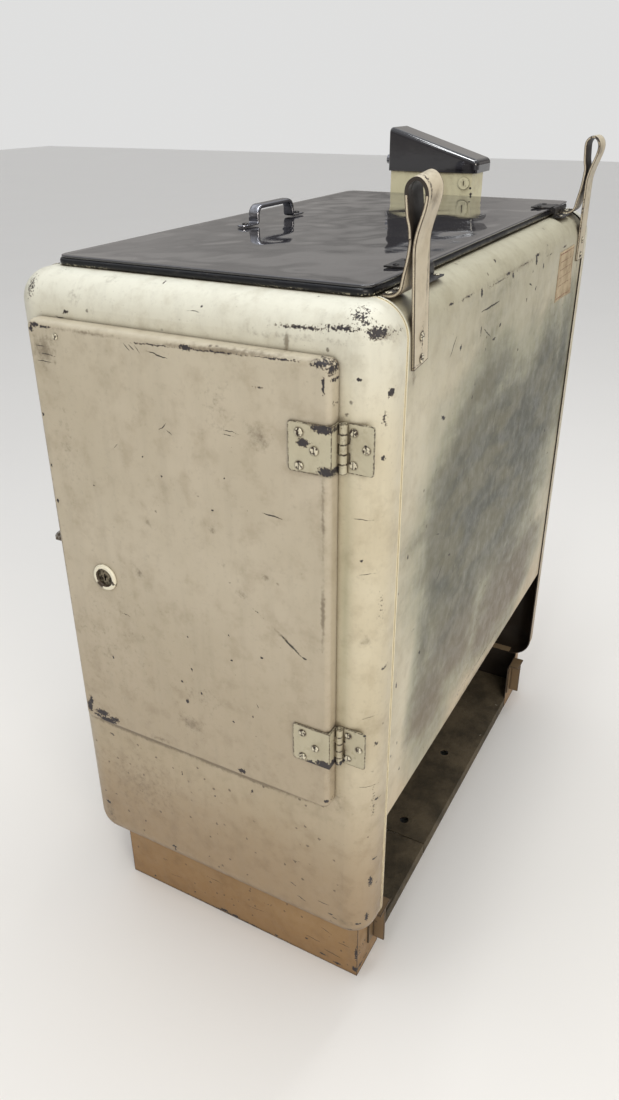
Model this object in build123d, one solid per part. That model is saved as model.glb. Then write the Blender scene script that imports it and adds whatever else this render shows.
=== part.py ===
"""Chest-type bottle cooler with a lift-up lid, a side door and a coin box.

Millimetres, +Z up, floor at z = 0. +X points to the end with the door and
+Y to the back, where the lid is hinged. The cabinet is drawn about its own
centre and every piece is moved by one shift, so that the row's origin is
the middle of the footprint of the whole cooler.
"""
import math
import os

from build123d import *

os.makedirs("parts", exist_ok=True)

# Cabinet
CAB_L = 772.0
CAB_D = 440.0
CAB_TOP = 900.0
CAB_BOT = 97.0
CORNER_R = 36.0
ROLL_R = 33.0
CAP_W = 49.0
SHEET = 1.2
STEP_IN = 1.4
END_X = CAB_L / 2
SEAM_X = END_X - CAP_W
BACK_Y = CAB_D / 2
PANEL_Y = BACK_Y - STEP_IN
PANEL_TOP = CAB_TOP - STEP_IN
BAY_TOP = 281.0

# Whole-object shift to the middle of the footprint
SHIFT_X = 12.1
SHIFT_Y = 8.6

# Plinth and deck
PLINTH_X = 359.0
PLINTH_FRONT = -182.0
PLINTH_BACK = 197.0
PLINTH_RETURN = 66.0
DECK_Z = 22.0
DECK_SPLIT_X = 120.0

# Tank
TANK_X = 334.0
TANK_Y = 182.0
TANK_Z0 = 318.0
TANK_Z1 = 886.0
MOUTH_X = 312.0
MOUTH_Y = 150.0

# Lid
LID_X0 = -360.0
LID_X1 = 347.0
LID_Y0 = -183.5
LID_Y1 = 185.4
LID_TOP = 910.5
LID_SKIN_Z = 904.2
RIM_Z = 900.4
LID_PIN_Y = 190.2
LID_PIN_Z = 908.6
LID_HINGE_X = (238.0, -272.0)
LID_HINGE_W = 45.0
LID_KNUCKLE_R = 3.6
LID_PIN_R = 1.9

# Handle
HANDLE_X = 16.0
HANDLE_Y = -113.0
HANDLE_LEN = 96.0
HANDLE_H = 24.0
HANDLE_W = 15.0
HANDLE_T = 3.0
HANDLE_FOOT = 30.0

# Lid stops
STRAP_W = 34.0
STRAP_T = 3.0
STRAP_X = (321.0, -318.0)
STRAP_LEAN = 6.0

# Door
DOOR_Y0 = -185.0
DOOR_Y1 = 175.0
DOOR_Z0 = 331.0
DOOR_Z1 = 855.0
DOOR_GAP = 0.8
DOOR_FACE_X = END_X + 18.0
DOOR_EDGE_R = 6.0
OPEN_Y0 = -172.6
OPEN_Y1 = 162.6
OPEN_Z0 = 345.1
OPEN_Z1 = 842.9
PLUG_Y0 = -166.0
PLUG_Y1 = 156.0
PLUG_Z0 = 352.0
PLUG_Z1 = 836.0
PLUG_X = 340.0
DOOR_PIN_X = 391.5
DOOR_PIN_Y = 182.0
DOOR_PIN_R = 2.0
DOOR_KNUCKLE_R = 4.0
DOOR_HINGE_Z = (772.0, 420.0)
DOOR_HINGE_H = 49.0
LEAF_T = 2.0

# Door lock
LOCK_Y = -119.0
LOCK_Z = 561.0
LOCK_RING_R = 16.5
LOCK_PLUG_R = 10.0

# Coin box
COIN_X0 = -424.0
COIN_X1 = -368.0
COIN_Y0 = -112.0
COIN_Y1 = 28.0
COIN_APRON_Z = 790.0
COIN_CAP_Z = 943.0
COIN_CAP_FRONT_Z = 1009.0
COIN_CAP_BACK_Z = 961.5

# Bottle opener
OPENER_X = 338.0

# Condensing unit
UNIT_Z = DECK_Z + 3.0
COMP_X = -150.0
COMP_Y = -35.0
COMP_R = 74.0
COND_X0 = -10.0
COND_X1 = 230.0
FAN_X = 110.0
FAN_Z = 145.0
FAN_Y = -113.0
FAN_R = 88.0


def block(x0, x1, y0, y1, z0, z1):
    """Box between two corners."""
    size = Box(abs(x1 - x0), abs(y1 - y0), abs(z1 - z0))
    return Pos((x0 + x1) / 2, (y0 + y1) / 2, (z0 + z1) / 2) * size


def rod_x(x0, x1, y, z, r):
    """Round bar along X."""
    return Pos((x0 + x1) / 2, y, z) * Rot(0, 90, 0) * Cylinder(r, abs(x1 - x0))


def rod_y(x, y0, y1, z, r):
    """Round bar along Y."""
    return Pos(x, (y0 + y1) / 2, z) * Rot(90, 0, 0) * Cylinder(r, abs(y1 - y0))


def rod_z(x, y, z0, z1, r):
    """Round bar along Z."""
    return Pos(x, y, (z0 + z1) / 2) * Cylinder(r, abs(z1 - z0))


def save(name, *solids):
    """Write one named piece, moved to the origin at the footprint's middle."""
    group = []
    for item in solids:
        group += list(item.solids())
    moved = [Pos(SHIFT_X, SHIFT_Y, 0) * s for s in group]
    shape = moved[0] if len(moved) == 1 else Compound(children=moved)
    export_step(shape, f"parts/{name}.step")


def screw_head(r=4.2, h=1.7):
    """Slotted round head standing on z = 0."""
    head = Pos(0, 0, h / 2) * Cylinder(r, h)
    head = fillet(head.edges().group_by(Axis.Z)[-1], h * 0.6)
    return head - Pos(0, 0, h) * Box(2 * r + 1, 1.0, 1.3)


# ---------------------------------------------------------------- cabinet
def cap_form(inset, start):
    """End-cap form: rounded outline with a rolled edge to the end face."""
    width = CAB_D - 2 * inset
    height = CAB_TOP - CAB_BOT - 2 * inset
    mid_z = (CAB_TOP + CAB_BOT) / 2
    outline = RectangleRounded(width, height, CORNER_R - inset)
    depth = CAP_W - inset - start
    solid = extrude(Plane.YZ * outline, amount=depth)
    rim = solid.faces().sort_by(Axis.X)[-1].edges()
    solid = fillet(rim, ROLL_R - inset)
    return Pos(SEAM_X + start, 0, mid_z) * solid


def cap_bead():
    """Raised bead around the open edge of an end cap."""
    height = CAB_TOP - CAB_BOT
    outer = RectangleRounded(CAB_D + 1.4, height + 1.4, CORNER_R + 0.7)
    inner = RectangleRounded(CAB_D - 0.6, height - 0.6, CORNER_R - 0.3)
    ring = extrude(Plane.YZ * (outer - inner), amount=3.2)
    ring = Pos(SEAM_X, 0, (CAB_TOP + CAB_BOT) / 2) * ring
    ring -= block(SEAM_X - 1, SEAM_X + 5, -189, 189, CAB_TOP - 5, CAB_TOP + 5)
    ring -= block(SEAM_X - 1, SEAM_X + 5, -230, 230, CAB_BOT - 5, CAB_BOT + 2)
    return ring


cap = cap_form(0, 0) - cap_form(SHEET, -2) + cap_bead()
near_cap = cap - block(380, 390, OPEN_Y0, OPEN_Y1, OPEN_Z0, OPEN_Z1)
save("cap_near", near_cap)
save("cap_far", mirror(cap, about=Plane.YZ))


def body_panel(bottom):
    """Back wall with its rolled shoulder, top strip and hems."""
    height = PANEL_TOP - CAB_BOT - STEP_IN
    mid_z = (PANEL_TOP + CAB_BOT + STEP_IN) / 2
    outer = RectangleRounded(2 * PANEL_Y, height, CORNER_R - STEP_IN)
    inner = RectangleRounded(
        2 * (PANEL_Y - SHEET), height - 2 * SHEET, CORNER_R - STEP_IN - SHEET
    )
    run = 2 * (SEAM_X + 5)
    skin = extrude(Plane.YZ * (outer - inner), amount=run)
    skin = Pos(-run / 2, 0, mid_z) * skin
    skin &= block(-400, 400, 172, 300, bottom, PANEL_TOP + 1)
    lip = block(-SEAM_X, SEAM_X, 172, 172 + SHEET, 888, PANEL_TOP)
    return skin + lip


back_panel = body_panel(BAY_TOP)
back_panel += block(-SEAM_X, SEAM_X, PANEL_Y - 14, PANEL_Y, BAY_TOP, BAY_TOP + SHEET)
front_panel = mirror(body_panel(CAB_BOT), about=Plane.XZ)
front_panel -= block(-400, 400, -184, 0, CAB_BOT, CAB_BOT + 20)
for col in (-190, 0, 190):
    for row in range(6):
        zc = 135 + 20 * row
        front_panel -= block(col - 75, col + 75, -230, -200, zc - 3, zc + 3)
save("back_panel", back_panel)
save("front_panel", front_panel)

top_frame = block(-336, 336, -171, 171, 887, PANEL_TOP)
top_frame -= block(-MOUTH_X, MOUTH_X, -MOUTH_Y, MOUTH_Y, 880, 905)
save("top_frame", top_frame)

jamb = block(335.2, 384.6, OPEN_Y0 + 0.2, OPEN_Y1 - 0.2, OPEN_Z0 + 0.2, OPEN_Z1 - 0.2)
jamb -= block(330, 390, OPEN_Y0 + 1.4, OPEN_Y1 - 1.4, OPEN_Z0 + 1.4, OPEN_Z1 - 1.4)
save("door_jamb", jamb)

liner = block(-TANK_X, TANK_X, -TANK_Y, TANK_Y, TANK_Z0, TANK_Z1)
liner -= block(
    -TANK_X + SHEET, TANK_X - SHEET, -TANK_Y + SHEET, TANK_Y - SHEET, TANK_Z0 + SHEET, 900
)
liner -= block(330, 340, OPEN_Y0, OPEN_Y1, OPEN_Z0, OPEN_Z1)
DRAIN_X = -266.0
DRAIN_Y = 25.0
liner -= rod_z(DRAIN_X, DRAIN_Y, 310, 330, 11.4)
save("tank_liner", liner)

foam_front = block(-332, 332, -216.8, -182.6, 286, 862)
foam_back = block(-332, 332, 182.6, 216.8, 286, 862)
foam_far = block(-384, -334.8, -181, 181, 320, 862)
foam_near = block(334.8, 384, -181, 181, 320, 862)
foam_near -= block(330, 390, OPEN_Y0 - 0.4, OPEN_Y1 + 0.4, OPEN_Z0 - 0.4, OPEN_Z1 + 0.4)
foam_floor = block(-332, 332, -182, 182, 286, 317.6)
foam_floor -= rod_z(DRAIN_X, DRAIN_Y, 280, 330, 11.6)
save("insulation", foam_front, foam_back, foam_far, foam_near, foam_floor)

ceiling = block(-350, 350, -216.8, 216.8, 283, 284.6)
ceiling -= rod_z(DRAIN_X, DRAIN_Y, 280, 290, 11.6)
save("bay_ceiling", ceiling)

drain = rod_z(DRAIN_X, DRAIN_Y, 60, TANK_Z0 + 3, 11.0)
drain += rod_z(DRAIN_X, DRAIN_Y, TANK_Z0 + 1.4, TANK_Z0 + 3, 17.0)
drain -= rod_z(DRAIN_X, DRAIN_Y, 50, 330, 9.4)
save("drain_tube", drain)

# ------------------------------------------------------------ tank fittings
COIL_Y = -171.0
COIL_RUNS = 7
COIL_PITCH = 50.0
COIL_Z0 = 420.0
coil = rod_z(-262, COIL_Y, TANK_Z0 + 2, COIL_Z0, 4)
coil += Pos(-262, COIL_Y, COIL_Z0) * Sphere(4)
for run in range(COIL_RUNS):
    z = COIL_Z0 + COIL_PITCH * run
    left = -262 if run == 0 else -235
    coil += rod_x(left, 235, COIL_Y, z, 4)
    if run < COIL_RUNS - 1:
        side = 1 if run % 2 == 0 else -1
        bend = Torus(COIL_PITCH / 2, 4)
        bend = Pos(side * 235, COIL_Y, z + COIL_PITCH / 2) * Rot(90, 0, 0) * bend
        keep = block(side * 235, side * 280, COIL_Y - 10, COIL_Y + 10, z - 10, z + 60)
        coil += bend & keep
coil += rod_x(235, 262, COIL_Y, COIL_Z0 + COIL_PITCH * (COIL_RUNS - 1), 4)
save("evaporator_coil", coil)

RAIL_Y = [-130, -78, -26, 26, 78, 130]
RAIL_X0 = -215.0
RAIL_X1 = 300.0
rails = block(RAIL_X1, RAIL_X1 + 2, -145, 145, 832, 866)
for y in RAIL_Y:
    rails += block(RAIL_X0, RAIL_X1, y - 11, y + 11, 862, 864)
    rails += block(RAIL_X0, RAIL_X1, y - 1, y + 1, 836, 862)
    for x in (RAIL_X0 + 5, RAIL_X1 - 6):
        rails += rod_z(x, y, TANK_Z0 + 14, 840, 3)
save("bottle_rails", rails)

shelf = None
for y in (-150, -100, -50, 0, 50, 100, 150):
    bar = rod_x(-320, 320, y, TANK_Z0 + 4.5, 3)
    shelf = bar if shelf is None else shelf + bar
for x in (-312, -220, -110, 0, 110, 220, 312):
    shelf += rod_y(x, -166, 166, TANK_Z0 + 9.5, 3)
save("storage_shelf", shelf)

ROTOR_X = -262.0
ROTOR_Y = -40.0
bracket = block(-331.8, -240, ROTOR_Y - 12, ROTOR_Y + 12, 840, 843)
bracket += block(-332.4, -329.4, ROTOR_Y - 30, ROTOR_Y + 30, 800, 862)
bracket -= rod_z(ROTOR_X, ROTOR_Y, 830, 850, 5.06)
save("rotor_bracket", bracket)

rotor = rod_z(ROTOR_X, ROTOR_Y, 832, 876, 5.0)
rotor += rod_z(ROTOR_X, ROTOR_Y, 844, 848, 9.0)
hub = rod_z(ROTOR_X, ROTOR_Y, 866, 874, 40)
for k in range(4):
    a = math.radians(45 + 90 * k)
    hub -= rod_z(ROTOR_X + 40 * math.cos(a), ROTOR_Y + 40 * math.sin(a), 860, 880, 18)
save("vend_rotor", rotor + hub)

# ----------------------------------------------------------------- plinth
px, pf, pb = PLINTH_X, PLINTH_FRONT, PLINTH_BACK
plinth = block(-px, px, pf, pb, 0, 96.6)
plinth -= block(-px + 1.6, px - 1.6, pf + 1.6, pb - 1.6, -1, 95)
plinth -= block(-px + 20, px - 20, pf + 6, pb + 5, 90, 100)
plinth -= block(-px + PLINTH_RETURN, px - PLINTH_RETURN, pb - 30, pb + 5, -1, 100)
ledge = block(-px + 1, px - 1, pf + 1, pb - 2, DECK_Z - 4, DECK_Z - 1.8)
ledge -= block(-px + 22, px - 22, pf + 22, pb - 20, 0, DECK_Z)
plinth += ledge
save("plinth", plinth)

deck_main = block(-355, DECK_SPLIT_X - 1, -178, pb, DECK_Z - 1.6, DECK_Z)
deck_main += block(-290, DECK_SPLIT_X - 1, pb - 1.6, pb, 1, DECK_Z)
deck_main -= block(-365, -px + PLINTH_RETURN + 1, pb - 3, pb + 5, 0, 40)
for x in (-92, 88):
    deck_main -= rod_z(x, 150, 10, 30, 7)
deck_near = block(DECK_SPLIT_X + 1, 355, -178, pb, DECK_Z - 1.6, DECK_Z)
deck_near += block(DECK_SPLIT_X + 1, 290, pb - 1.6, pb, 1, DECK_Z)
deck_near -= block(px - PLINTH_RETURN - 1, 365, pb - 3, pb + 5, 0, 40)
save("deck_plates", deck_main, deck_near)

clips = []
for sx in (1, -1):
    plate = block(sx * 296, sx * 328, pb + 0.2, pb + 2.2, 32, 92)
    web = block(sx * 311, sx * 314, pb + 0.2, pb + 18, 32, 92)
    top = block(sx * 296, sx * 328, pb + 0.2, pb + 18, 92, 94.5)
    clips.append(plate + web + top)
save("corner_brackets", *clips)

label = block(-286, -204, PANEL_Y + 0.1, PANEL_Y + 0.4, 791, 860)
save("label", label)

# --------------------------------------------------------- condensing unit
base = block(-250, 245, -179, 92, UNIT_Z, UNIT_Z + 3)
base += block(-250, 245, -179, -176, UNIT_Z, UNIT_Z + 12)
base += block(-250, 245, 89, 92, UNIT_Z, UNIT_Z + 12)
save("unit_base", base)

grommets = []
for dx in (-62, 62):
    for dy in (-62, 62):
        grommets.append(rod_z(COMP_X + dx, COMP_Y + dy, UNIT_Z + 3.1, UNIT_Z + 15, 9))
save("compressor_grommets", *grommets)

shell = rod_z(COMP_X, COMP_Y, 48, 208, COMP_R)
shell = fillet(shell.edges().group_by(Axis.Z)[-1], 44)
shell = fillet(shell.edges().group_by(Axis.Z)[0], 20)
shell += rod_z(COMP_X, COMP_Y, 122, 128, COMP_R + 4)
shell += block(COMP_X - 76, COMP_X + 76, COMP_Y - 10, COMP_Y + 10, 44, 52)
for dx in (-62, 62):
    shell += block(COMP_X + dx - 10, COMP_X + dx + 10, COMP_Y - 74, COMP_Y + 74, 40.2, 44.2)
shell += block(COMP_X - 62, COMP_X + 62, COMP_Y - 12, COMP_Y + 12, 40.2, 48)
save("compressor", shell)

relay = block(COMP_X + 84, COMP_X + 108, COMP_Y - 26, COMP_Y + 26, 70, 118)
relay = fillet(relay.edges(), 3)
relay += block(COMP_X + 78.6, COMP_X + 84, COMP_Y - 12, COMP_Y + 12, 80, 108)
save("relay_box", relay)

coil_block = None
for y in (-165, -151):
    for row in range(8):
        z = 52 + 24 * row
        tube = rod_x(COND_X0, COND_X1, y, z, 4)
        coil_block = tube if coil_block is None else coil_block + tube
for k in range(23):
    x = COND_X0 + 8 + k * 10.18
    coil_block += block(x, x + 0.8, -173, -143, 40, 232)
coil_block += block(COND_X0 + 2, COND_X0 + 5, -175, -141, 30, 234)
coil_block += block(COND_X1 - 5, COND_X1 - 2, -175, -141, 30, 234)
coil_block += block(COND_X0 + 2, COND_X1 - 2, -175, -141, UNIT_Z + 3.1, 30)
save("condenser", coil_block)

shroud = block(COND_X0 + 2, COND_X1 - 2, -140.4, -138.8, UNIT_Z + 3.1, 236)
shroud -= rod_y(FAN_X, -150, -140, FAN_Z, FAN_R + 6)
ring = rod_y(FAN_X, -139, -99, FAN_Z, FAN_R + 7.6)
ring -= rod_y(FAN_X, -150, -90, FAN_Z, FAN_R + 6)
save("fan_shroud", shroud + ring)

blade = rod_y(FAN_X, FAN_Y - 8, FAN_Y + 10, FAN_Z, 16)
blade -= rod_y(FAN_X, FAN_Y - 4, FAN_Y + 20, FAN_Z, 4.06)
for k in range(4):
    vane = Pos(FAN_R / 2 + 6, 0, 0) * Rot(28, 0, 0) * Box(FAN_R - 18, 1.8, 46)
    vane = Pos(FAN_X, FAN_Y, FAN_Z) * Rot(0, 90 * k, 0) * vane
    blade += vane
blade &= rod_y(FAN_X, FAN_Y - 14, FAN_Y + 14, FAN_Z, FAN_R)
save("fan_blade", blade)

motor = rod_y(FAN_X, -87, -23, FAN_Z, 34)
motor = fillet(motor.edges().filter_by(GeomType.CIRCLE), 6)
motor += rod_y(FAN_X, FAN_Y - 2, -85, FAN_Z, 4.0)
motor += block(FAN_X - 26, FAN_X + 26, -80, -40, UNIT_Z + 3.1, UNIT_Z + 6)
motor += block(FAN_X - 20, FAN_X + 20, -62, -58, UNIT_Z + 3.1, FAN_Z - 20)
save("fan_motor", motor)


def pipe(points, r, bend):
    """Bent tube through a list of corner points."""
    wire = FilletPolyline(*points, radius=bend)
    disc = Plane(origin=wire @ 0, z_dir=wire % 0) * Circle(r)
    return sweep(disc, path=wire)


discharge = pipe(
    [
        (COMP_X + 40, COMP_Y - 66, 150),
        (COMP_X + 40, -120, 150),
        (-30, -120, 150),
        (-30, -158, 150),
        (-30, -158, 226),
    ],
    3.2,
    12,
)
suction = pipe(
    [
        (COMP_X - 30, COMP_Y + 70.4, 170),
        (COMP_X - 30, 60, 170),
        (COMP_X - 30, 60, 240),
        (COMP_X - 90, 60, 240),
        (COMP_X - 90, 60, 281),
    ],
    4.0,
    12,
)
save("refrigerant_lines", discharge, suction)

gland = rod_x(-262, -250.4, -100, 60, 9)
gland += block(-253, -250.4, -112, -88, UNIT_Z + 3.1, 74)
gland -= rod_x(-270, -245, -100, 60, 4.5)
save("cord_gland", gland)

# --------------------------------------------------------------- coin box
ox0, ox1, oy0, oy1 = COIN_X0, COIN_X1, COIN_Y0, COIN_Y1
tower = block(ox0, ox1, oy0, oy1, CAB_TOP + 0.3, COIN_CAP_Z + 8)
tower += block(ox0, -END_X - 0.4, oy0, oy1, COIN_APRON_Z, CAB_TOP + 1)
vertical = tower.edges().filter_by(Axis.Z)
tower = fillet(vertical.group_by(Axis.X)[0], 5)
inside = block(ox0 + SHEET, ox1 - SHEET, oy0 + SHEET, oy1 - SHEET, 902, 960)
inside += block(ox0 + SHEET, -END_X - 1.6, oy0 + SHEET, oy1 - SHEET, COIN_APRON_Z + SHEET, 903)
housing = tower - inside
COIN_LOCK_Y = 15.0
COIN_LOCK_Z = 928.0
housing -= rod_x(ox1 - 5, ox1 + 5, COIN_LOCK_Y, COIN_LOCK_Z, 7.06)
save("coin_housing", housing)

cap_pts = [
    (COIN_Y0 - 4, COIN_CAP_Z),
    (COIN_Y0 - 4, COIN_CAP_FRONT_Z),
    (COIN_Y1 + 9, COIN_CAP_BACK_Z),
    (COIN_Y1 + 9, COIN_CAP_Z),
]
profile = Plane.YZ * make_face(Polyline(*cap_pts, close=True))
hood = Pos(ox0 - 8, 0, 0) * extrude(profile, amount=(ox1 + 4) - (ox0 - 8))
back_top = hood.edges().filter_by(Axis.X).sort_by(Axis.Y)[-2:]
back_top = back_top.sort_by(Axis.Z)[-1:]
hood = fillet(back_top, 9)
corner = hood.edges().filter_by(Axis.Z).group_by(Axis.Y)[-1]
hood = fillet(corner, 8)
top_edges = [e for e in hood.edges() if e.center().Z > COIN_CAP_Z + 6]
top_edges = [e for e in top_edges if abs(e.tangent_at(0.5).Z) < 0.9]
hood = fillet(top_edges, 4.5)
hollow = [
    (COIN_Y0 - 2, COIN_CAP_Z - 1),
    (COIN_Y0 - 2, COIN_CAP_FRONT_Z - 5),
    (COIN_Y1 + 3, COIN_CAP_BACK_Z - 2),
    (COIN_Y1 + 3, COIN_CAP_Z - 1),
]
hollow = Plane.YZ * make_face(Polyline(*hollow, close=True))
hood -= Pos(ox0 - 4, 0, 0) * extrude(hollow, amount=(ox1 + 1.2) - (ox0 - 4))
lip = block(ox0 - 9, ox1 + 5, COIN_Y0 - 5, COIN_Y1 + 10, COIN_CAP_Z - 1, COIN_CAP_Z + 5)
lip -= block(ox0 - 6.6, ox1 + 2.6, COIN_Y0 - 3, COIN_Y1 + 7.6, COIN_CAP_Z - 2, COIN_CAP_Z + 6)
hood -= lip
hood -= rod_y(-396, COIN_Y0 - 10, COIN_Y0 + 4, 958, 5.4)
save("coin_cap", hood)

coin_plug = rod_x(ox1 - 14, ox1 + 2, COIN_LOCK_Y, COIN_LOCK_Z, 7.0)
coin_plug += rod_x(ox1 + 0.4, ox1 + 2.6, COIN_LOCK_Y, COIN_LOCK_Z, 9.0)
coin_plug -= block(ox1 + 1, ox1 + 4, COIN_LOCK_Y - 0.8, COIN_LOCK_Y + 0.8, 924.5, 931.5)
coin_plug += block(ox1 - 14, ox1 - 11, COIN_LOCK_Y - 5, COIN_LOCK_Y + 5, 928, 948)
save("coin_lock_plug", coin_plug)

mech = block(ox0 + 6, ox1 - 20, oy0 + 8, oy1 - 30, 905, 936)
mech += block(ox0 + 6, -END_X - 6, oy0 + 8, oy1 - 30, COIN_APRON_Z + 3, 906)
mech -= block(ox0 + 12, ox1 - 26, oy0 + 16, oy1 - 40, 915, 940)
mech += block(ox0 + 20, ox0 + 23, oy0 + 4, oy0 + 40, 930, 990)
mech += block(ox0 + 28, ox0 + 31, oy0 + 4, oy0 + 40, 930, 990)
save("coin_mechanism", mech)

slot_plate = block(-412, -380, COIN_Y0 - 6.1, COIN_Y0 - 4.1, 950, 998)
slot_plate -= block(-397.5, -394.5, COIN_Y0 - 8, COIN_Y0 - 2, 972, 994)
slot_plate -= rod_y(-396, COIN_Y0 - 10, COIN_Y0, 958, 5.4)
save("coin_slot_plate", slot_plate)

button = rod_y(-396, COIN_Y0 - 16, COIN_Y0 - 0.5, 958, 5)
button += rod_y(-396, COIN_Y0 - 18, COIN_Y0 - 14, 958, 7)
save("coin_return_button", button)


# -------------------------------------------------------------------- lid
def pan(x0, x1, y0, y1, z0, z1, t, r):
    """Shallow pan, open below, with rounded top edges and corners."""
    solid = block(x0, x1, y0, y1, z0, z1)
    solid = fillet(solid.edges().filter_by(Axis.Z), r + 1.5)
    solid = fillet(solid.edges().group_by(Axis.Z)[-1], r)
    return solid - block(x0 + t, x1 - t, y0 + t, y1 - t, z0 - 1, z1 - t)


lid_skin = pan(LID_X0, LID_X1, LID_Y0, LID_Y1, LID_SKIN_Z, LID_TOP, 1.4, 1.2)
save("lid_skin", lid_skin)

rim = block(LID_X0 - 1, LID_X1 + 2, LID_Y0 - 2, LID_Y1 + 0.2, RIM_Z, LID_SKIN_Z - 0.1)
rim = fillet(rim.edges().filter_by(Axis.Z), 3)
rim -= block(LID_X0 + 16, LID_X1 - 16, LID_Y0 + 16, LID_Y1 - 16, RIM_Z - 1, LID_TOP)
rim += block(LID_X0 + 2, LID_X1 - 2, LID_Y0 + 2, LID_Y1 - 2, LID_SKIN_Z - 0.2, LID_TOP - 3)
rim -= block(LID_X0 + 12, LID_X1 - 12, LID_Y0 + 12, LID_Y1 - 12, RIM_Z - 1, LID_TOP)
save("lid_rim", rim)

lid_pan = block(-300, 300, -140, 134, 888, LID_SKIN_Z - 1.4)
lid_pan = fillet(lid_pan.edges().filter_by(Axis.Z), 8)
lid_pan += block(-342, 329, -165.5, 167.5, LID_SKIN_Z - 2.6, LID_SKIN_Z - 1.4)
lid_pan -= block(-298.8, 298.8, -138.8, 132.8, 889.2, LID_TOP)
save("lid_liner", lid_pan)

lid_foam = block(-298.4, 298.4, -138.4, 132.4, 889.4, LID_TOP - 1.8)
save("lid_insulation", lid_foam)

hx, hy, ht = HANDLE_X, HANDLE_Y, HANDLE_T
half = HANDLE_LEN / 2
z0 = LID_TOP + 0.1
handle = block(hx - half, hx + half, hy - HANDLE_W / 2, hy + HANDLE_W / 2, z0, z0 + HANDLE_H)
crown = handle.edges().filter_by(Axis.Y).group_by(Axis.Z)[-1]
handle = fillet(crown, 9)
gap = block(hx - half + ht, hx + half - ht, hy - 20, hy + 20, z0 - 1, z0 + HANDLE_H - ht)
gap = fillet(gap.edges().filter_by(Axis.Y).group_by(Axis.Z)[-1], 6)
handle -= gap
for sx in (-1, 1):
    near = hx + sx * (half - 1)
    far = hx + sx * (half + HANDLE_FOOT)
    handle += block(near, far, hy - HANDLE_W / 2, hy + HANDLE_W / 2, z0, z0 + 2.4)
save("lid_handle", handle)


def knuckles(x0, x1, count, pick, y, z, r, bore, gap):
    """Every second knuckle of a hinge barrel along X."""
    out = None
    step = (x1 - x0) / count
    for k in range(count):
        if k % 2 != pick:
            continue
        a = x0 + k * step + (gap if k else 0)
        b = x0 + (k + 1) * step - (gap if k < count - 1 else 0)
        piece = rod_x(a, b, y, z, r) - rod_x(a - 1, b + 1, y, z, bore)
        out = piece if out is None else out + piece
    return out


lid_leaves = []
body_leaves = []
lid_pins = []
for cx in LID_HINGE_X:
    x0 = cx - LID_HINGE_W / 2
    x1 = cx + LID_HINGE_W / 2
    third = LID_HINGE_W / 3
    py, pz, kr = LID_PIN_Y, LID_PIN_Z, LID_KNUCKLE_R
    leaf = block(x0, x1, 158.5, py - kr - 0.5, LID_TOP + 0.1, LID_TOP + 1.7)
    tongue = block(x0 + third + 0.4, x1 - third - 0.4, 180, py, LID_TOP + 0.1, LID_TOP + 1.7)
    barrel = knuckles(x0, x1, 3, 1, py, pz, kr, LID_PIN_R + 0.06, 0.4)
    leaf = leaf + tongue + barrel
    leaf -= rod_x(x0 - 1, x1 + 1, py, pz, LID_PIN_R + 0.06)
    lid_leaves.append(leaf)
    plate = block(x0, x1, py + 2, 204.5, PANEL_TOP + 0.1, PANEL_TOP + 1.9)
    barrel = knuckles(x0, x1, 3, 0, py, pz, kr, LID_PIN_R + 0.02, 0.4)
    for a, b in ((x0, x0 + third - 0.4), (x1 - third + 0.4, x1)):
        web = block(a, b, py + 1.9, py + 3.6, PANEL_TOP + 0.1, pz)
        plate += web
    plate = plate + barrel
    plate -= rod_x(x0 - 1, x1 + 1, py, pz, LID_PIN_R + 0.02)
    body_leaves.append(plate)
    lid_pins.append(rod_x(x0 - 0.5, x1 + 0.5, py, pz, LID_PIN_R))
save("lid_hinge_upper_leaves", *lid_leaves)
save("lid_hinge_lower_leaves", *body_leaves)
save("lid_hinge_pins", *lid_pins)

lid_screws = []
for cx in LID_HINGE_X:
    for dx in (-14, 14):
        lid_screws.append(Pos(cx + dx, 168, LID_TOP + 1.75) * screw_head(3.2, 1.2))
for sx in (-1, 1):
    spot = Pos(hx + sx * (half + 18), hy, z0 + 2.45)
    lid_screws.append(spot * screw_head(4.0, 1.6))
save("lid_screws", *lid_screws)


# -------------------------------------------------------------- lid stops
def ribbon(path, x_mid, steps):
    """Flat strap following a centre line drawn in the Y-Z plane."""
    left = []
    right = []
    for k in range(steps + 1):
        point = path.position_at(k / steps)
        tangent = path.tangent_at(k / steps)
        dy = -tangent.Y * STRAP_T / 2
        dz = tangent.X * STRAP_T / 2
        left.append((point.X + dy, point.Y + dz))
        right.append((point.X - dy, point.Y - dz))
    if steps == 1:
        outline = Polyline(*left, *right[::-1], close=True)
    else:
        a = Spline(left)
        b = Spline(right)
        outline = [a, Line(a @ 1, b @ 1), b, Line(b @ 0, a @ 0)]
    face = Plane.YZ * make_face(outline)
    return Pos(x_mid - STRAP_W / 2, 0, 0) * extrude(face, amount=STRAP_W)


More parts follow.
